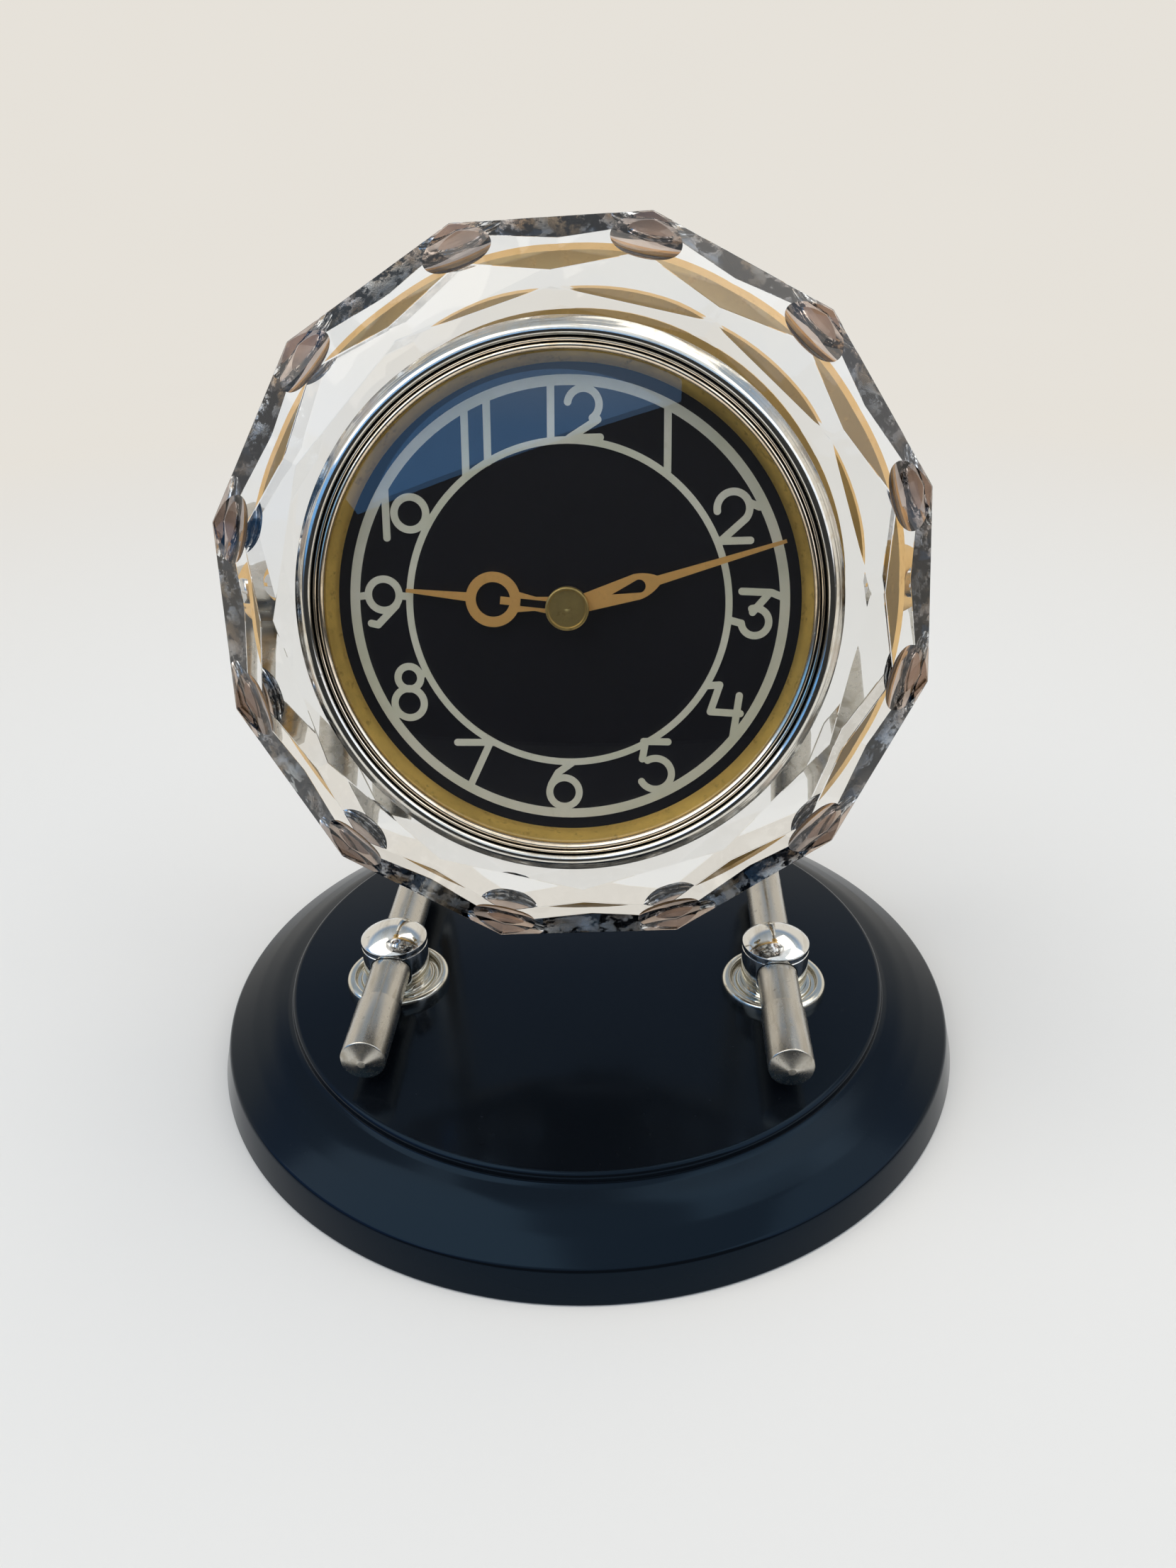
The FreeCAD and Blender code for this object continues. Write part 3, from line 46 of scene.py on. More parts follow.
def deselectAll():
    if bpy.context.object and bpy.context.object.mode != "OBJECT":
        bpy.ops.object.mode_set(mode="OBJECT")
    bpy.ops.object.select_all(action="DESELECT")


def pick(piece):
    deselectAll()
    piece.select_set(True)
    bpy.context.view_layer.objects.active = piece


def editAll(piece):
    pick(piece)
    bpy.ops.object.mode_set(mode="EDIT")
    bpy.ops.mesh.select_all(action="SELECT")


def leaveEdit():
    bpy.ops.object.mode_set(mode="OBJECT")


def cleanMesh(piece, joinWithin=0.00001):
    editAll(piece)
    bpy.ops.mesh.remove_doubles(threshold=joinWithin)
    bpy.ops.mesh.normals_make_consistent(inside=False)
    leaveEdit()


def bevelEdges(piece, width, angle):
    pick(piece)
    modifier = piece.modifiers.new("softEdges", "BEVEL")
    modifier.width = width * mm
    modifier.segments = 2
    modifier.limit_method = "ANGLE"
    modifier.angle_limit = math.radians(angle)
    bpy.ops.object.modifier_apply(modifier=modifier.name)


def smooth(piece, angle=30):
    pick(piece)
    bpy.ops.object.shade_smooth_by_angle(angle=math.radians(angle))


def settle(piece):
    pick(piece)
    bpy.ops.object.transform_apply(location=True, rotation=True, scale=True)


def placeInHead(piece):
    piece.rotation_euler = (math.pi / 2 - headTilt, 0, 0)
    piece.location = headCentre
    settle(piece)


def placeAt(piece, x, y, z):
    piece.location = Vector((x, y, z)) * mm
    settle(piece)


def named(name):
    # the primitive that was just added, with its place applied
    piece = bpy.context.object
    piece.name = name
    settle(piece)
    return piece


def roundedOutline(corners, steps):
    # each corner is (radius, height) or (radius, height, rounding)
    points = []
    for index, corner in enumerate(corners):
        here = Vector(corner[:2])
        before = here - Vector(corners[index - 1][:2])
        after = Vector(corners[(index + 1) % len(corners)][:2]) - here
        into, away = before.normalized(), after.normalized()
        turn = into.angle(away) if len(corner) == 3 else 0
        if turn < 0.01:
            points.append(here)
            continue
        reach = min(corner[2] * math.tan(turn / 2), before.length * 0.49, after.length * 0.49)
        radius = reach / math.tan(turn / 2)
        centre = here + (away - into).normalized() * (radius / math.cos(turn / 2))
        start = here - into * reach - centre
        side = 1 if into.x * away.y - into.y * away.x > 0 else -1
        for step in range(steps + 1):
            angle = side * turn * step / steps
            points.append(centre + Matrix.Rotation(angle, 2) @ start)
    return points


def turnOnLathe(name, corners, steps, closed=True, rounding=6):
    outline = roundedOutline(corners, rounding)
    if closed:
        outline.append(outline[0])
    deselectAll()
    start = outline[0]
    bpy.ops.mesh.primitive_plane_add(size=mm, location=(start.x * mm, 0, start.y * mm))
    piece = bpy.context.object
    piece.name = name
    editAll(piece)
    bpy.ops.mesh.merge(type="CENTER")
    for here, there in zip(outline, outline[1:]):
        step = (there - here) * mm
        bpy.ops.mesh.extrude_vertices_move(TRANSFORM_OT_translate={"value": (step.x, 0, step.y)})
    bpy.ops.mesh.select_all(action="SELECT")
    bpy.ops.mesh.spin(steps=steps, angle=2 * math.pi, center=(0, 0, 0), axis=(0, 0, 1))
    leaveEdit()
    settle(piece)
    cleanMesh(piece, joinWithin=0.000002)
    return piece


def dome(radius, base, apex, steps=14):
    # corners of a round cap from its rim to its top
    rise = apex - base
    sphere = (radius ** 2 + rise ** 2) / (2 * rise)
    spread = math.asin(radius / sphere)
    angles = [spread * (1 - step / steps) for step in range(steps + 1)]
    return [(sphere * math.sin(angle), apex - sphere * (1 - math.cos(angle))) for angle in angles]


def roundBar(name, sides, radius, length, centre, rotation=(0, 0, 0)):
    deselectAll()
    bpy.ops.mesh.primitive_cylinder_add(vertices=sides, radius=radius * mm, depth=length * mm,
                                        location=Vector(centre) * mm, rotation=rotation)
    return named(name)


def cutAway(piece, tool):
    pick(piece)
    modifier = piece.modifiers.new("cut", "BOOLEAN")
    modifier.operation = "DIFFERENCE"
    modifier.solver = "EXACT"
    modifier.material_mode = "TRANSFER"
    modifier.object = tool
    bpy.ops.object.modifier_apply(modifier=modifier.name)
    bpy.data.objects.remove(tool, do_unlink=True)


def hand(piece, finish, slot, body, *replaced):
    # the finished piece gets its material and its body, and the CAD nodes that it stands for are hidden
    if finish:
        piece.data.materials.clear()
        piece.data.materials.append(finish.material)
    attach(piece, body)
    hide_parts(*replaced)


# Materials

class Value:
    def __init__(self, finish, socket):
        self.finish = finish
        self.socket = socket

    def combine(self, operation, first, second):
        return self.finish.node("ShaderNodeMath", {"operation": operation}, {0: first, 1: second})

    def __add__(self, other):
        return self.combine("ADD", self, other)

    def __radd__(self, other):
        return self.combine("ADD", other, self)

    def __sub__(self, other):
        return self.combine("SUBTRACT", self, other)

    def __rsub__(self, other):
        return self.combine("SUBTRACT", other, self)

    def __mul__(self, other):
        return self.combine("MULTIPLY", self, other)

    def __rmul__(self, other):
        return self.combine("MULTIPLY", other, self)


class Finish:
    # the nodes of one material, or of the world, whose pattern lies on directions instead of places
    def __init__(self, name, world=None):
        self.material = world or bpy.data.materials.new(name)
        self.material.use_nodes = True
        self.tree = self.material.node_tree
        self.tree.nodes.clear()
        self.place = self.node("ShaderNodeTexCoord", {}, {}, "Generated" if world else "Object")
        self.output = "ShaderNodeOutputWorld" if world else "ShaderNodeOutputMaterial"

    def node(self, kind, settings, inputs, output=0):
        made = self.tree.nodes.new(kind)
        for key, value in settings.items():
            if key == "stops":
                ramp = made.color_ramp
                while len(ramp.elements) < len(value):
                    ramp.elements.new(0.5)
                for element, (position, colour) in zip(ramp.elements, value):
                    element.position = position
                    element.color = (*colour, 1)
            else:
                setattr(made, key, value)
        for key, value in inputs.items():
            if isinstance(value, Value):
                self.tree.links.new(value.socket, made.inputs[key])
            elif isinstance(value, tuple) and len(value) == 3 and made.inputs[key].type == "RGBA":
                made.inputs[key].default_value = (*value, 1)
            else:
                made.inputs[key].default_value = value
        return Value(self, made.outputs[output]) if made.outputs else None

    def noise(self, scale, detail, roughness=0.5, stretch=(1, 1, 1), shift=(0, 0, 0)):
        placed = self.node("ShaderNodeMapping", {},
                           {"Vector": self.place, "Scale": stretch, "Location": shift})
        return self.node("ShaderNodeTexNoise", {},
                         {"Vector": placed, "Scale": scale, "Detail": detail, "Roughness": roughness})

    def rescale(self, value, fromLow, fromHigh, toLow, toHigh):
        return self.node("ShaderNodeMapRange", {"clamp": True},
                         {0: value, 1: fromLow, 2: fromHigh, 3: toLow, 4: toHigh})

    def mask(self, value, low, high):
        return self.rescale(value, low, high, 0.0, 1.0)

    def spread(self, noise, low, high):
        # nearly all of a noise lies between a quarter and three quarters
        return self.rescale(noise, 0.25, 0.75, low, high)

    def mix(self, share, first, second):
        return self.node("ShaderNodeMix", {"data_type": "RGBA"}, {0: share, 6: first, 7: second}, 2)

    def bump(self, height, strength, distance):
        return self.node("ShaderNodeBump", {},
                         {"Height": height, "Strength": strength, "Distance": distance})

    def ray(self, kind):
        return self.node("ShaderNodeLightPath", {}, {}, "Is " + kind + " Ray")

    def eitherRay(self, first, second):
        return self.node("ShaderNodeMath", {"operation": "ADD", "use_clamp": True}, {0: first, 1: second})

    def blend(self, share, first, second):
        self.finishWith(self.node("ShaderNodeMixShader", {}, {0: share, 1: first, 2: second}))

    def surface(self, **inputs):
        spaced = {key.replace("_", " "): value for key, value in inputs.items()}
        self.finishWith(self.node("ShaderNodeBsdfPrincipled", {}, spaced))

    def finishWith(self, shader):
        self.node(self.output, {}, {"Surface": shader})


def darker(colour, share):
    return tuple(part * share for part in colour)


def blackMoulding():
    finish = Finish("blackMoulding")
    dust = finish.mask(finish.noise(scale=900, detail=6, roughness=0.7), low=0.66, high=0.80)
    cloud = finish.noise(scale=28, detail=4)
    scratch = finish.noise(scale=60, detail=8, roughness=0.6, stretch=(1, 14, 1))
    # painted reflection: the gloss of the moulding is tinted blue through its specular tint
    finish.surface(Base_Color=finish.mix(dust * 0.12, (0.0035, 0.0045, 0.006), (0.10, 0.10, 0.10)),
                   Roughness=finish.spread(cloud, low=0.10, high=0.20) + dust * 0.2,
                   Normal=finish.bump(scratch, strength=0.02, distance=0.0002),
                   Specular_IOR_Level=0.19, Specular_Tint=(0.32, 0.62, 1.0))
    return finish


def wornNickel(name, tone, stain, low, high):
    # low and high are the roughness of the bright and of the dull places
    finish = Finish(name)
    streak = finish.noise(scale=90, detail=6, roughness=0.6, stretch=(6, 0.7, 6))
    patch = finish.noise(scale=160, detail=5, roughness=0.65)
    speck = finish.mask(finish.noise(scale=700, detail=4, roughness=0.7), low=0.62, high=0.74)
    worn = finish.mask(streak, low=0.48, high=0.68)
    colour = finish.mix(worn * 0.55, tone, stain)
    finish.surface(Base_Color=finish.mix(speck * 0.4, colour, darker(stain, 0.4)), Metallic=1.0,
                   Roughness=finish.spread(patch, low, high) + worn * 0.10 + speck * 0.25,
                   Normal=finish.bump(streak, strength=0.02, distance=0.0002))
    return finish


def paintedGlitterLining():
    # the bore of the crystal was left as ground; its glitter is painted into the lining behind it as
    # near-black specks and bluish-white patches on the lining's brown
    finish = Finish("paintedGlitterLining")
    glitterGrain = finish.noise(scale=300, detail=6, roughness=0.7)
    patch = finish.noise(scale=170, detail=3, shift=(0.3, 0.1, 0))
    # painted glitter: bluish-white patches in the brown of the lining, then near-black specks over both
    tint = finish.mix(finish.mask(patch, low=0.46, high=0.60), (0.96, 0.98, 1.0), (0.38, 0.28, 0.18))
    finish.surface(Base_Color=finish.mix(finish.mask(glitterGrain, low=0.48, high=0.53),
                                         (0.008, 0.008, 0.010), tint),
                   Metallic=1.0, Roughness=finish.spread(patch, low=0.12, high=0.35),
                   Normal=finish.bump(glitterGrain, strength=0.6, distance=0.0006))
    return finish


def agedGold(name, tone, dark, amount, low=0.18, high=0.34, metallic=1.0):
    # amount says how much of the metal has gone dull and spotted
    finish = Finish(name)
    patch = finish.noise(scale=120, detail=6, roughness=0.7)
    speck = finish.mask(finish.noise(scale=520, detail=5, roughness=0.75), low=0.56, high=0.68)
    dulled = finish.mask(patch, low=0.42, high=0.66) * amount
    finish.surface(Base_Color=finish.mix(speck * amount, finish.mix(dulled, tone, darker(tone, 0.62)), dark),
                   Metallic=metallic, Roughness=finish.spread(patch, low, high) + speck * 0.2,
                   Normal=finish.bump(patch, strength=0.05, distance=0.0002))
    return finish


def plainMetal(name, tone, low, high):
    finish = Finish(name)
    brushed = finish.noise(scale=240, detail=5, roughness=0.6)
    shade = finish.spread(brushed, low=0.0, high=0.35)
    finish.surface(Base_Color=finish.mix(shade, tone, darker(tone, 0.6)), Metallic=1.0,
                   Roughness=finish.spread(brushed, low, high),
                   Normal=finish.bump(brushed, strength=0.04, distance=0.0001))
    return finish


def clearGlass(name, tint, dusky, index, shadow):
    # light passes to what lies behind, tinted a little
    finish = Finish(name)
    haze = finish.noise(scale=60, detail=4)
    glass = finish.node("ShaderNodeBsdfPrincipled", {}, {
        "Base Color": finish.mix(finish.mask(haze, low=0.42, high=0.58), tint, dusky),
        "Roughness": finish.mask(haze, low=0.5, high=0.9) * 0.01,
        "IOR": index, "Transmission Weight": 1.0})
    through = finish.node("ShaderNodeBsdfTransparent", {}, {"Color": shadow})
    finish.blend(finish.ray("Shadow"), glass, through)
    return finish


def softRubber():
    finish = Finish("softRubber")
    grain = finish.noise(scale=400, detail=4)
    finish.surface(Base_Color=finish.mix(grain, (0.012, 0.012, 0.012), (0.03, 0.03, 0.03)),
                   Roughness=finish.spread(grain, low=0.55, high=0.75))
    return finish


def greenFelt():
    finish = Finish("greenFelt")
    fibre = finish.noise(scale=1400, detail=8, roughness=0.8)
    patch = finish.noise(scale=40, detail=3)
    colour = finish.mix(fibre, (0.02, 0.075, 0.035), (0.06, 0.17, 0.085))
    finish.surface(Base_Color=finish.mix(patch * 0.3, colour, (0.03, 0.06, 0.03)), Roughness=0.95,
                   Normal=finish.bump(fibre, strength=0.6, distance=0.0004))
    return finish


def glossyDial():
    finish = Finish("glossyDial")
    dust = finish.mask(finish.noise(scale=1200, detail=5, roughness=0.75), low=0.68, high=0.80)
    cloud = finish.noise(scale=30, detail=3)
    finish.surface(Base_Color=finish.mix(dust * 0.12, (0.006, 0.006, 0.008), (0.2, 0.19, 0.18)),
                   Roughness=finish.spread(cloud, low=0.08, high=0.16))
    return finish


def luminousPaint():
    finish = Finish("luminousPaint")
    patch = finish.noise(scale=90, detail=4)
    grain = finish.noise(scale=900, detail=6, roughness=0.7)
    colour = finish.mix(finish.mask(patch, low=0.4, high=0.65), (0.95, 0.92, 0.74), (0.84, 0.83, 0.62))
    soiled = finish.mask(grain, low=0.55, high=0.75) * 0.35
    finish.surface(Base_Color=finish.mix(soiled, colour, (0.60, 0.60, 0.42)),
                   Roughness=finish.spread(grain, low=0.45, high=0.65),
                   Normal=finish.bump(grain, strength=0.25, distance=0.0001))
    return finish


moulding = blackMoulding()
# the lining behind the crystal's bore, with painted glitter
liningWithPaintedGlitter = paintedGlitterLining()
sealRubber = softRubber()
felt = greenFelt()
dialBlack = glossyDial()
paint = luminousPaint()
rodNickel = wornNickel("rodNickel", tone=(0.56, 0.53, 0.47), stain=(0.34, 0.29, 0.21), low=0.18, high=0.34)
capChrome = wornNickel("capChrome", tone=(0.80, 0.79, 0.75), stain=(0.55, 0.50, 0.42), low=0.04, high=0.10)
collarNickel = wornNickel("collarNickel", tone=(0.74, 0.71, 0.62), stain=(0.46, 0.40, 0.30),
                          low=0.08, high=0.18)
bezelChrome = wornNickel("bezelChrome", tone=(0.80, 0.77, 0.70), stain=(0.62, 0.54, 0.42),
                         low=0.05, high=0.12)
lipGold = wornNickel("lipGold", tone=(0.90, 0.76, 0.58), stain=(0.66, 0.48, 0.28), low=0.08, high=0.16)
ringGold = agedGold("ringGold", tone=(0.98, 0.66, 0.17), dark=(0.34, 0.20, 0.05), amount=0.55,
                    low=0.30, high=0.45, metallic=0.8)
ringBrass = agedGold("ringBrass", tone=(0.92, 0.60, 0.22), dark=(0.45, 0.25, 0.08), amount=0.25,
                     low=0.40, high=0.55)
handCopper = agedGold("handCopper", tone=(1.0, 0.56, 0.17), dark=(0.55, 0.25, 0.06), amount=0.25,
                      low=0.28, high=0.42, metallic=0.5)
capBrass = agedGold("capBrass", tone=(0.52, 0.38, 0.13), dark=(0.16, 0.10, 0.03), amount=0.8,
                    low=0.25, high=0.40, metallic=0.8)
movementBrass = agedGold("movementBrass", tone=(0.76, 0.58, 0.26), dark=(0.35, 0.24, 0.09), amount=0.3)
keyBrass = agedGold("keyBrass", tone=(0.80, 0.60, 0.27), dark=(0.35, 0.23, 0.09), amount=0.25,
                    low=0.2, high=0.32)
# painted shade: a near-black metal on the floors of the bezel's grooves
paintedGrooveShade = plainMetal("paintedGrooveShade", tone=(0.035, 0.033, 0.032), low=0.4, high=0.6)
caseSteel = plainMetal("caseSteel", tone=(0.62, 0.60, 0.56), low=0.22, high=0.40)
brightSteel = plainMetal("brightSteel", tone=(0.66, 0.65, 0.63), low=0.12, high=0.24)
darkIron = plainMetal("darkIron", tone=(0.24, 0.235, 0.23), low=0.4, high=0.6)
crystalGlass = clearGlass("crystalGlass", tint=(0.965, 0.96, 0.94), dusky=(0.95, 0.945, 0.925),
                          index=1.52, shadow=(0.80, 0.80, 0.78))
# painted reflection: a dark amber tint in the glass of the corner hollows, for the colour seen in them
scoopGlassPaintedAmber = clearGlass("scoopGlassPaintedAmber", tint=(0.38, 0.25, 0.18), dusky=(0.13, 0.095, 0.08),
                        index=1.52, shadow=(0.70, 0.66, 0.62))
watchGlass = clearGlass("watchGlass", tint=(0.99, 0.99, 0.99), dusky=(0.98, 0.98, 0.98),
                        index=1.75, shadow=(0.97, 0.97, 0.97))
print("stage: materials made")

# Foot: hollow black moulding turned round its axis, its slope given by radius, height and rounding
foot = {"underRecess": 1.25, "innerRadius": 66.4, "radius": 70.0, "lowEdgeRound": 0.4,
        "wallTop": (68.55, 5.95, 1.2), "shoulder": (64.0, 8.2, 16), "slope": (60.2, 9.8, 16),
        "hollow": (57.3, 10.55, 2.5), "step": (56.45, 10.9, 0.4),
        "platformRadius": 56.25, "platformHeight": 12.62, "platformRound": 1.1}


def makeFoot():
    top = foot["platformHeight"]
    corners = [(0, foot["underRecess"]), (foot["innerRadius"], foot["underRecess"]),
               (foot["innerRadius"], 0), (foot["radius"], 0, foot["lowEdgeRound"]),
               foot["wallTop"], foot["shoulder"], foot["slope"], foot["hollow"], foot["step"],
               (foot["platformRadius"], top, foot["platformRound"]), (0, top)]
    piece = turnOnLathe("footMoulding", corners, steps=256, closed=False, rounding=8)
    smooth(piece, angle=35)
    hand(piece, moulding, "base_shell", mainBody, "base_shell")


makeFoot()
print("stage: foot")

# Posts with caps and collars, rods with end sleeves
post = {"offset": 35.4, "depth": 8.54, "radius": 6.1, "height": 10.5, "sunk": 0.5, "dome": 1.9,
        "edge": 0.5, "edgeRound": 0.3, "rodRise": 5.95, "rodPlay": 0.12, "drillLength": 30,
        "holeEdge": 0.12, "lineTop": 1.43, "lineBottom": 1.75, "lineSlope": 0.07, "lineDepth": 0.1,
        "lineRound": 0.12}
collar = {"radius": 9.55, "rimWidth": 1.8, "rimHeight": 1.9, "floor": 0.9, "neck": 6.9, "neckHeight": 1.5,
          "play": 0.02, "rimRound": 0.85, "rimInnerRound": 0.7, "floorRound": 0.2, "neckRound": 0.3}
rod = {"radius": 3.6, "bend": 10.0, "back": 30.0, "front": 24.55, "endDepth": 34.5}
sleeve = {"radius": 3.85, "length": 14.6, "cone": 1.1, "nose": 0.7, "gap": 0.05,
          "rearRound": 0.2, "shoulderRound": 0.35, "noseRound": 0.5}
rodHeight = foot["platformHeight"] + post["rodRise"]


def makePost(side, offset):
    radius, height = post["radius"], post["height"]
    waist, lineRound = radius - post["lineDepth"], post["lineRound"]
    corners = [(0, -post["sunk"]), (radius, -post["sunk"]),
               (radius, height - post["lineBottom"], lineRound),
               (waist, height - post["lineBottom"] + post["lineSlope"], lineRound / 2),
               (waist, height - post["lineTop"] - post["lineSlope"], lineRound / 2),
               (radius, height - post["lineTop"], lineRound),
               (radius, height - post["edge"], post["edgeRound"])]
    corners += dome(radius - post["edge"], height, height + post["dome"], steps=12)
    piece = turnOnLathe("post" + side, corners, steps=128, closed=False)
    drill = roundBar("rodDrill", 96, rod["radius"] + post["rodPlay"], post["drillLength"],
                     (0, 0, post["rodRise"]), rotation=(math.pi / 2, 0, 0))
    cutAway(piece, drill)
    bevelEdges(piece, post["holeEdge"], angle=40)
    placeAt(piece, offset, -post["depth"], foot["platformHeight"])
    smooth(piece)
    hand(piece, capChrome, "post", mainBody, "post_" + side.lower())


def makeCollar(side, offset):
    inside = post["radius"] + collar["play"]
    rimInside = collar["radius"] - collar["rimWidth"]
    corners = [(inside, 0), (collar["radius"], 0),
               (collar["radius"], collar["rimHeight"], collar["rimRound"]),
               (rimInside, collar["rimHeight"], collar["rimInnerRound"]),
               (rimInside, collar["floor"], collar["floorRound"]),
               (collar["neck"], collar["floor"], collar["floorRound"]),
               (collar["neck"], collar["neckHeight"], collar["neckRound"]), (inside, collar["neckHeight"])]
    piece = turnOnLathe("collar" + side, corners, steps=160)
    placeAt(piece, offset, -post["depth"], foot["platformHeight"])
    smooth(piece)
    hand(piece, collarNickel, "post_ring", mainBody, "post_ring_" + side.lower())


def makeRod(side, offset):
    # along the foot, up behind the head and back down the tilt into the rear ring
    cosTilt, sinTilt = math.cos(headTilt), math.sin(headTilt)
    across, height, back, bend = offset * mm, rodHeight * mm, rod["back"] * mm, rod["bend"] * mm
    endY = headCentre.y + rod["endDepth"] * mm * cosTilt
    endZ = headCentre.z - rod["endDepth"] * mm * sinTilt
    topRun = (back - endY) / cosTilt
    highTurn = math.pi / 2 - headTilt
    highReach = bend * math.tan(highTurn / 2)
    bendEnd = endZ - topRun * sinTilt - highReach
    deselectAll()
    bpy.ops.mesh.primitive_circle_add(vertices=64, radius=rod["radius"] * mm, fill_type="NGON",
                                      location=(across, -rod["front"] * mm, height),
                                      rotation=(math.pi / 2, 0, 0))
    piece = named("rod" + side)
    editAll(piece)
    run = (rod["back"] + rod["front"] - rod["bend"]) * mm
    last = topRun - highReach
    bpy.ops.mesh.extrude_region_move(TRANSFORM_OT_translate={"value": (0, run, 0)})
    bpy.ops.mesh.spin(steps=28, angle=math.pi / 2, center=(across, back - bend, height + bend),
                      axis=(-1, 0, 0))
    bpy.ops.mesh.extrude_region_move(TRANSFORM_OT_translate={"value": (0, 0, bendEnd - height - bend)})
    bpy.ops.mesh.spin(steps=24, angle=highTurn, center=(across, back - bend, bendEnd), axis=(-1, 0, 0))
    bpy.ops.mesh.extrude_region_move(TRANSFORM_OT_translate={"value": (0, -last * cosTilt, last * sinTilt)})
    leaveEdit()
    cleanMesh(piece)
    smooth(piece, angle=35)
    hand(piece, rodNickel, "rod", mainBody, "rod_" + side.lower())


def makeSleeve(side, offset):
    length = sleeve["length"]
    corners = [(0, sleeve["gap"]), (sleeve["radius"], sleeve["gap"], sleeve["rearRound"]),
               (sleeve["radius"], length - sleeve["cone"], sleeve["shoulderRound"]),
               (sleeve["nose"], length, sleeve["noseRound"]), (0, length)]
    piece = turnOnLathe("sleeve" + side, corners, steps=96, closed=False)
    piece.rotation_euler = (math.pi / 2, 0, 0)
    placeAt(piece, offset, -rod["front"], rodHeight)
    smooth(piece)
    hand(piece, rodNickel, "rod_tip", mainBody, "rod_tip_" + side.lower())


for side, offset in (("Left", -post["offset"]), ("Right", post["offset"])):
    makePost(side, offset)
    makeCollar(side, offset)
    makeRod(side, offset)
    makeSleeve(side, offset)
print("stage: posts and rods")

# Crystal: a thick twelve-sided disc with a flat table, two rows of planes and a hollow at each corner
crystal = {"radius": 55.2, "thickness": 30.0, "bore": 36.4, "turn": 2.41, "sides": 12, "tableCorner": 43.3,
           "tip": 45.4, "mainSlope": 0.9, "rowSlope": 0.31, "edge": 0.12, "drillOver": 5}
scoop = {"inner": 47.6, "across": 9.8, "along": 6.7, "deep": 6.0, "bite": 1.75}
sector = 360 / crystal["sides"]
flatShare = math.cos(math.radians(sector / 2))  # from a corner's radius to the middle of a side
tipDepth = (crystal["tip"] - crystal["tableCorner"]) * flatShare * crystal["rowSlope"]
girdleDepth = tipDepth + (crystal["radius"] * flatShare - crystal["tip"]) * crystal["mainSlope"]


def facetCut(angle, radius, depth, slope, fromFront):
    turn = math.radians(angle)
    outward = Vector((-math.sin(turn), math.cos(turn), 0))
    height = -depth if fromFront else depth - crystal["thickness"]
    normal = (outward * slope + Vector((0, 0, 1 if fromFront else -1))).normalized()
    bpy.ops.mesh.select_all(action="SELECT")
    bpy.ops.mesh.bisect(plane_co=(outward * radius + Vector((0, 0, height))) * mm, plane_no=normal,
                        use_fill=True, clear_outer=True, threshold=0.0000005)


def makeScoop(angle, fromFront):
    # the round wheel that grinds a thumb-shaped hollow into a corner of the crystal
    startDepth = tipDepth + (scoop["inner"] * flatShare - crystal["tip"]) * crystal["mainSlope"]
    run = Vector((crystal["radius"] - scoop["inner"], 0, startDepth - girdleDepth))
    middle = Vector((scoop["inner"], 0, -startDepth)) + run / 2
    outward = Vector((-run.z, 0, run.x)).normalized()
    deselectAll()
    bpy.ops.mesh.primitive_uv_sphere_add(segments=120, ring_count=72, radius=mm)
    wheel = bpy.context.object
    wheel.name = "scoopWheel"
    # the hollow's faces take the glass with the painted amber tint
    wheel.data.materials.append(scoopGlassPaintedAmber.material)
    wheel.scale = (scoop["along"], scoop["across"], scoop["deep"])
    wheel.rotation_euler = (0, math.atan2(outward.x, outward.z), 0)
    wheel.location = (middle + outward * (scoop["deep"] - scoop["bite"])) * mm
    settle(wheel)
    if not fromFront:
        wheel.rotation_euler = (math.pi, 0, 0)
        wheel.location = (0, 0, -crystal["thickness"] * mm)
        settle(wheel)
    wheel.rotation_euler = (0, 0, math.radians(angle + 90))
    settle(wheel)
    return wheel


def makeCrystal():
    thickness = crystal["thickness"]
    piece = roundBar("crystalBody", crystal["sides"], crystal["radius"], thickness, (0, 0, -thickness / 2),
                     rotation=(0, 0, math.radians(crystal["turn"] + sector / 2)))
    piece.data.materials.append(crystalGlass.material)
    editAll(piece)
    places = [(fromFront, crystal["turn"] + number * sector)
              for fromFront in (True, False) for number in range(crystal["sides"])]
    for fromFront, angle in places:
        facetCut(angle, crystal["tip"], tipDepth, crystal["mainSlope"], fromFront)
        facetCut(angle + sector / 2, crystal["tableCorner"] * flatShare, 0, crystal["rowSlope"], fromFront)
    leaveEdit()
    cleanMesh(piece, joinWithin=0.000004)
    drill = roundBar("crystalDrill", 360, crystal["bore"], thickness + 2 * crystal["drillOver"],
                     (0, 0, -thickness / 2))
    drill.data.materials.append(crystalGlass.material)
    cutAway(piece, drill)
    bevelEdges(piece, crystal["edge"], angle=6)
    wheels = [makeScoop(angle + sector / 2, fromFront) for fromFront, angle in places]
    deselectAll()
    for wheel in wheels:
        wheel.select_set(True)
    bpy.context.view_layer.objects.active = wheels[0]
    bpy.ops.object.join()
    cutAway(piece, wheels[0])
    placeInHead(piece)
    smooth(piece, angle=4)
    hand(piece, None, "crystal_body", mainBody, "crystal_body")


makeCrystal()
print("stage: crystal")

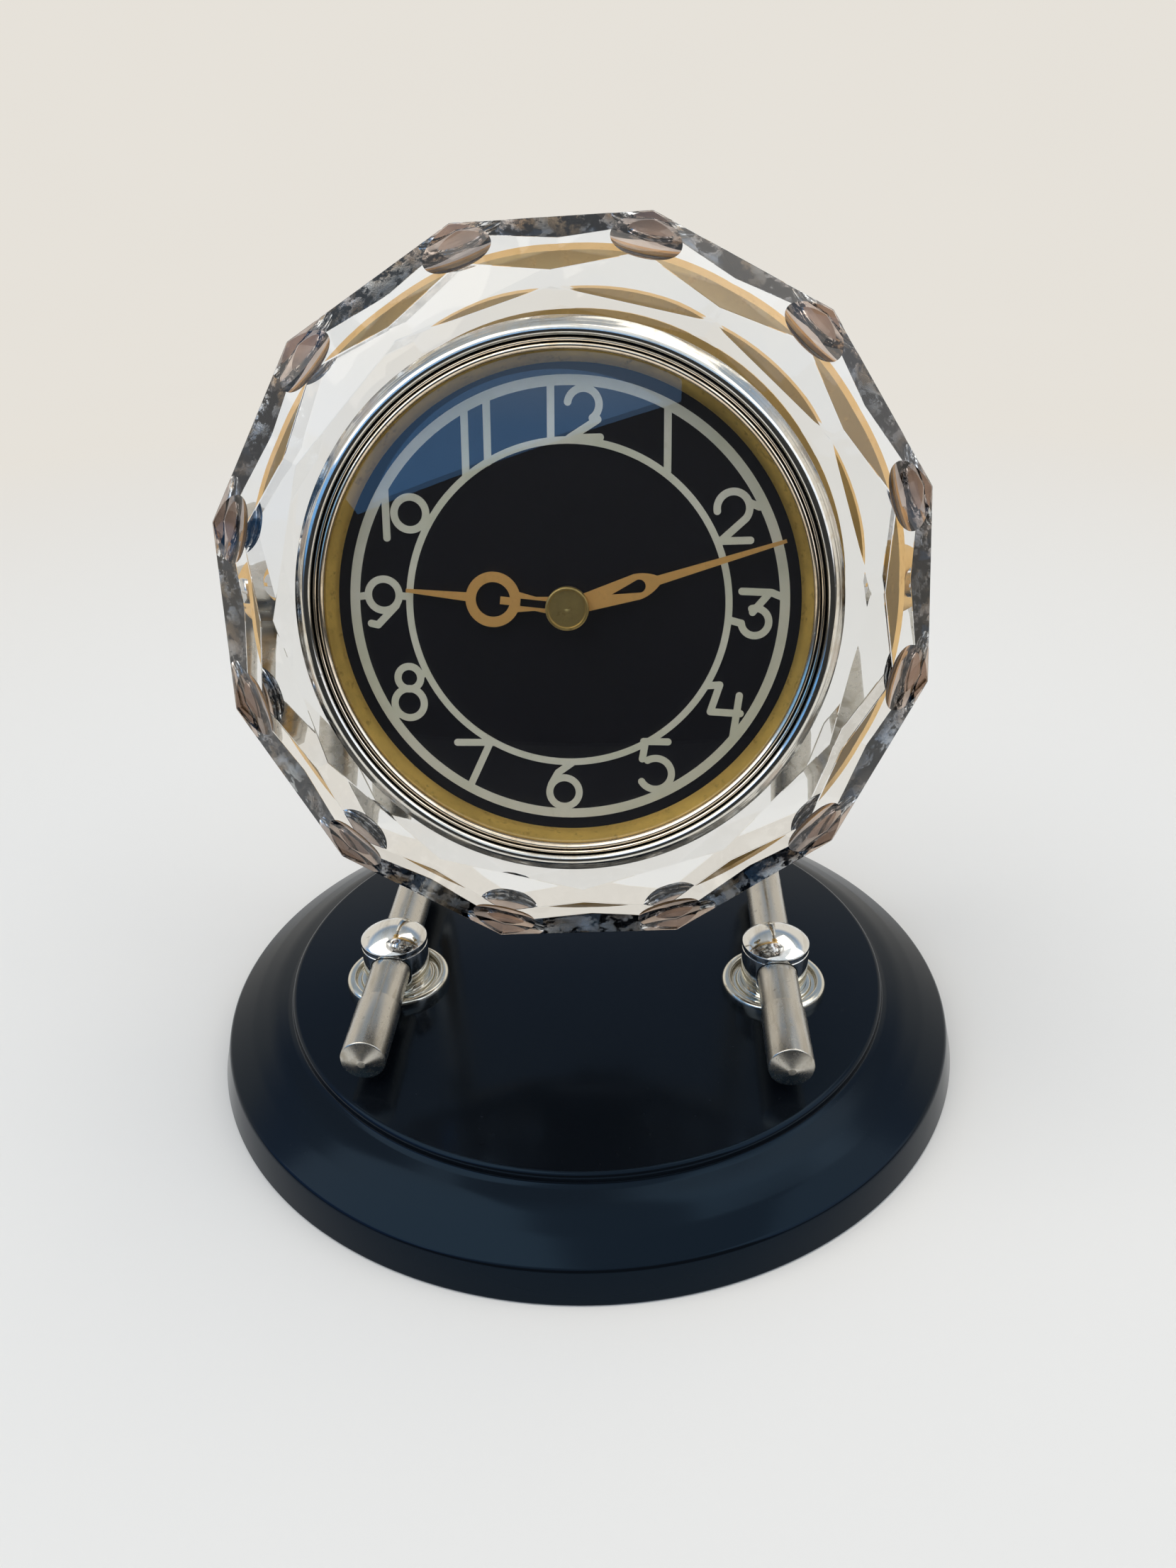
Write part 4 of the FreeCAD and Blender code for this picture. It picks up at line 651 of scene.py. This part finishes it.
# Lining tube, bezel, watch glass and inner ring, with heights above the face of the crystal
tube = {"outer": 36.2, "inner": 35.4, "flange": 38.9, "seal": 0.25, "front": 0.6, "back": 30.25,
        "edgeRound": 0.1}
bezel = {"radius": 39.5, "rebateRadius": 38.94, "bottom": 0.1, "lowRound": 0.12, "seat": 0.6,
         "glassRadius": 35.77, "lip": 35.0, "under": 1.55, "lipRound": 0.1,
         # radius, height and rounding of what is turned on its face, from the edge to the lip
         "flank": [(39.5, 0.95, 0.3), (38.7, 1.95, 1.8)],
         "crest": [(37.9, 3.05, 2.2), (37.1, 3.1, 1.6), (36.75, 2.6, 0.3)],
         "wideGroove": [(36.7, 1.9), (36.5, 1.9)],
         "bead": [(36.46, 2.55, 0.15), (36.25, 2.75, 0.4), (36.0, 2.55, 0.15)],
         "fineGroove": [(35.97, 1.9), (35.82, 1.9)],
         "roll": [(35.8, 2.5, 0.15), (35.45, 2.72, 0.7), (35.0, 2.35, 0.5)],
         # dark: where the floors of the grooves get their painted shade
         "dark": {"inner": 35.78, "outer": 36.8, "low": 1.7, "high": 2.3}, "goldWithin": 36.6}
watch = {"edge": 35.75, "top": 1.45, "step": 0.1, "dome": 34.7, "apex": 4.1, "thickness": 1.2}
inner = {"outer": 35.3, "front": 34.95, "back": 33.5, "top": 0.55, "bottom": -2.1, "edgeRound": 0.1}


def makeTube():
    edge = tube["edgeRound"]
    corners = [(tube["inner"], tube["front"]), (tube["flange"], tube["front"], edge),
               (tube["flange"], tube["seal"], edge), (tube["outer"], tube["seal"], edge),
               (tube["outer"], -tube["back"]), (tube["inner"], -tube["back"])]
    piece = turnOnLathe("liningTube", corners, steps=288)
    placeInHead(piece)
    smooth(piece)
    hand(piece, liningWithPaintedGlitter, "case_tube", mainBody, "case_tube")


def bezelShade(face):
    # chrome outside, painted shade in the two grooves as a near-black metal, gold from the wide groove to
    # the lip
    reach, height, dark = math.hypot(face.center.x, face.center.y) / mm, face.center.z / mm, bezel["dark"]
    if dark["inner"] < reach < dark["outer"] and dark["low"] < height < dark["high"]:
        return 1
    return 2 if reach < bezel["goldWithin"] else 0


def makeBezel():
    corners = [(bezel["rebateRadius"], bezel["bottom"]),
               (bezel["radius"], bezel["bottom"], bezel["lowRound"])]
    for part in ("flank", "crest", "wideGroove", "bead", "fineGroove", "roll"):
        corners += bezel[part]
    corners += [(bezel["lip"], bezel["under"], bezel["lipRound"]), (bezel["glassRadius"], bezel["under"]),
                (bezel["glassRadius"], bezel["seat"]), (bezel["rebateRadius"], bezel["seat"])]
    piece = turnOnLathe("bezelRing", corners, steps=288, rounding=5)
    shades = [bezelShade(face) for face in piece.data.polygons]
    placeInHead(piece)
    smooth(piece, angle=28)
    hand(piece, bezelChrome, "bezel_ring", mainBody, "bezel_ring")
    # the second material is the painted shade of the grooves
    piece.data.materials.append(paintedGrooveShade.material)
    piece.data.materials.append(lipGold.material)
    for face, shade in zip(piece.data.polygons, shades):
        face.material_index = shade


def makeWatchGlass():
    outside = dome(watch["dome"], watch["top"] + watch["step"], watch["apex"])
    under = dome(watch["dome"] - watch["thickness"], tube["front"], watch["apex"] - watch["thickness"])
    corners = under[::-1] + [(watch["edge"], tube["front"]), (watch["edge"], watch["top"])] + outside
    piece = turnOnLathe("watchGlass", corners, steps=160, closed=False)
    placeInHead(piece)
    smooth(piece, angle=25)
    hand(piece, watchGlass, "dial_glass", mainBody, "dial_glass")


def makeInnerRing():
    corners = [(inner["front"], inner["top"], inner["edgeRound"]), (inner["outer"], inner["top"]),
               (inner["outer"], inner["bottom"]), (inner["back"], inner["bottom"])]
    piece = turnOnLathe("innerRing", corners, steps=256)
    placeInHead(piece)
    smooth(piece)
    hand(piece, ringGold, "rehaut_ring", mainBody, "rehaut_ring")


makeTube()
makeBezel()
makeWatchGlass()
makeInnerRing()
print("stage: lining, bezel and glass")

# CAD pieces whose shape is right only get their finish
nodeFinishes = (
    (felt, ("base_pad",)),
    (darkIron, ("base_weight",)),
    (sealRubber, ("front_gasket", "rear_gasket", "movement_ring")),
    (dialBlack, ("dial_plate",)),
    (paint, ("dial_numerals",)),
    (handCopper, ("hour_hand", "minute_hand")),
    (capBrass, ("hub_cap",)),
    (ringBrass, ("rear_frame",)),
    (caseSteel, ("back_cover",)),
    (keyBrass, ("winding_key", "setting_knob")),
    (brightSteel, ("base_screw_1", "base_screw_2", "base_screw_3", "post_nut_left", "post_nut_right",
                   "back_screw_1", "back_screw_2", "rod_screw_left", "rod_screw_right",
                   "barrel_arbor", "mainspring", "ratchet_wheel", "click", "pallet_lever", "hairspring",
                   "regulator_lever", "centre_arbor", "cannon_pinion")),
    (movementBrass, ("front_plate", "back_plate", "pillar_1", "pillar_2", "pillar_3",
                     "mainspring_barrel", "intermediate_wheel", "centre_wheel", "third_wheel",
                     "fourth_wheel", "escape_wheel", "balance_wheel", "minute_wheel", "hour_wheel")),
)
for finish, names in nodeFinishes:
    for name in names:
        nodes[name].data.materials.clear()
        nodes[name].data.materials.append(finish.material)
print("stage: CAD pieces dressed")

# Floor, light and camera, in metres
backdrop = {"colour": (0.80, 0.765, 0.705), "halfWidth": 3.0, "wallPlace": 0.95, "wallBend": 0.35,
            "wallHeight": 0.35, "shadowsWithin": 0.16, "evenFrom": 0.60}
card = {"start": -0.17, "fold": -0.50, "width": 1.1, "lift": 0.001, "height": 0.17, "slant": 0.38}
lampColour = (1.0, 0.93, 0.84)
lampAim = Vector((0, 0, 0.08))
lamps = {"keyLamp": {"place": (-0.70, -0.30, 1.1), "size": 1.2, "power": 7.0},
         "fillLamp": {"place": (1.00, -0.25, 0.75), "size": 1.1, "power": 3.6},
         "topLamp": {"place": (0.40, 0.35, 1.10), "size": 0.7, "power": 2.4}}
sky = {"stops": ((0.0, (0.10, 0.10, 0.10)), (0.12, (0.09, 0.11, 0.15)), (0.20, (0.18, 0.48, 1.0)),
                 (0.45, (0.24, 0.50, 0.94)), (0.70, (0.72, 0.82, 0.92)), (1.0, (0.95, 0.97, 1.0))),
       "backDimming": 0.5, "rightShade": (0.06, 0.055, 0.05), "rightShading": 0.65}
camera = {"place": (11.32, -187.04, 150.55), "yaw": 3.164, "pitch": 28.09, "roll": -1.2, "focal": 1661.0,
          "pictureHeight": 2212, "sensor": 36, "near": 0.01, "far": 100}


def chooseByPlace(piece, kind, wanted):
    # in edit mode, with only those corners or edges selected that lie where they are wanted
    bpy.ops.mesh.select_mode(type=kind)
    bpy.ops.mesh.select_all(action="DESELECT")
    mesh = bmesh.from_edit_mesh(piece.data)
    for part in mesh.verts if kind == "VERT" else mesh.edges:
        corners = [part] if kind == "VERT" else part.verts
        part.select = all(wanted(corner.co) for corner in corners)
    bmesh.update_edit_mesh(piece.data)


def paleBackdrop():
    # near the object it is plain paint that takes shadows, further away it shows its colour evenly
    finish = Finish("paleBackdrop")
    grain = finish.noise(scale=5, detail=3)
    colour = finish.mix(grain * 0.35, backdrop["colour"], darker(backdrop["colour"], 0.95))
    distance = finish.node("ShaderNodeVectorMath", {"operation": "LENGTH"}, {0: finish.place}, 1)
    plain = finish.node("ShaderNodeBsdfPrincipled", {}, {"Base Color": colour, "Roughness": 0.9})
    even = finish.node("ShaderNodeEmission", {}, {"Color": colour, "Strength": 1.0})
    seen = finish.eitherRay(finish.ray("Camera") + finish.ray("Glossy"), finish.ray("Transmission"))
    finish.blend(seen * finish.mask(distance, backdrop["shadowsWithin"], backdrop["evenFrom"]), plain, even)
    return finish


def makeBackdrop():
    half, wall = backdrop["halfWidth"], backdrop["wallPlace"]
    deselectAll()
    bpy.ops.mesh.primitive_plane_add(size=2 * half, location=(0, wall - half, 0))
    piece = named("studioFloor")
    editAll(piece)
    chooseByPlace(piece, "EDGE", lambda place: place.y > wall - 0.01)
    bpy.ops.mesh.spin(steps=24, angle=math.pi / 2, center=(0, wall, backdrop["wallBend"]), axis=(-1, 0, 0))
    bpy.ops.mesh.extrude_edges_move(TRANSFORM_OT_translate={"value": (0, 0, backdrop["wallHeight"])})
    leaveEdit()
    smooth(piece)
    piece.data.materials.append(paleBackdrop().material)


def makeCard():
    # a folded black card before the dial, cut on a slant, that shows only in gloss and through glass
    length = card["start"] - card["fold"]
    deselectAll()
    bpy.ops.mesh.primitive_plane_add(size=1.0, location=(0, card["start"] - length / 2, card["lift"]))
    bpy.context.object.scale = (card["width"], length, 1.0)
    piece = named("blackCard")
    editAll(piece)
    chooseByPlace(piece, "EDGE", lambda place: place.y < card["fold"] + 0.01)
    bpy.ops.mesh.extrude_edges_move(TRANSFORM_OT_translate={"value": (0, 0, card["height"])})
    chooseByPlace(piece, "VERT", lambda place: place.z > card["height"] / 2 and place.x > 0)
    bpy.ops.transform.translate(value=(0, 0, card["slant"]))
    leaveEdit()
    piece.data.materials.append(sealRubber.material)
    piece.visible_camera = False
    piece.visible_diffuse = False
    piece.visible_shadow = False


def makeLamp(name, place, size, power):
    deselectAll()
    bpy.ops.object.light_add(type="AREA", location=place)
    lamp = bpy.context.object
    lamp.name = name
    lamp.data.size = size
    lamp.data.energy = power
    lamp.data.color = lampColour
    lamp.rotation_euler = (lampAim - Vector(place)).to_track_quat("-Z", "Y").to_euler()


def makeWorld():
    # sky for the light and the gloss, with the pale backdrop carried on behind it for eye and glass
    world = Finish("studioWorld", bpy.data.worlds.new("studioWorld"))
    bpy.context.scene.world = world.material
    right, back, height = (world.node("ShaderNodeSeparateXYZ", {}, {0: world.place}, axis)
                           for axis in range(3))
    dimmed = world.mix(world.mask(back, low=0.0, high=0.6) * sky["backDimming"],
                       world.node("ShaderNodeValToRGB", {"stops": sky["stops"]}, {0: height}),
                       (0.0, 0.0, 0.0))
    rightLow = world.mask(right, low=0.02, high=0.24) * (1 - world.mask(height, low=0.30, high=0.55))
    shaded = world.mix(rightLow * sky["rightShading"], dimmed, sky["rightShade"])
    behind = world.mask(back, low=0.0, high=0.3) * (1 - world.mask(height, low=0.45, high=0.60))
    seen = world.eitherRay(world.ray("Camera"), (world.ray("Glossy") + world.ray("Transmission")) * behind)
    world.finishWith(world.node("ShaderNodeBackground", {}, {
        "Color": world.mix(seen, shaded, backdrop["colour"]), "Strength": 1.0}))


def makeCamera():
    yaw, pitch, roll = (math.radians(camera[key]) for key in ("yaw", "pitch", "roll"))
    place = Vector(camera["place"]) * mm
    level = Vector((math.cos(yaw), math.sin(yaw), 0))
    ahead = Vector((-math.sin(yaw) * math.cos(pitch), math.cos(yaw) * math.cos(pitch), -math.sin(pitch)))
    upward = level.cross(ahead)
    right = level * math.cos(roll) + upward * math.sin(roll)
    top = upward * math.cos(roll) - level * math.sin(roll)
    deselectAll()
    bpy.ops.object.camera_add(location=place)
    eye = bpy.context.object
    eye.name = "photoCamera"
    eye.matrix_world = Matrix.Translation(place) @ Matrix((right, top, -ahead)).transposed().to_4x4()
    eye.data.sensor_width = camera["sensor"]
    eye.data.lens = camera["sensor"] * camera["focal"] / camera["pictureHeight"]
    eye.data.clip_start = camera["near"]
    eye.data.clip_end = camera["far"]
    bpy.context.scene.camera = eye


makeBackdrop()
makeCard()
for name, lamp in lamps.items():
    makeLamp(name, lamp["place"], lamp["size"], lamp["power"])
makeWorld()
makeCamera()
bpy.context.scene.view_settings.view_transform = "Standard"
print("stage: studio")
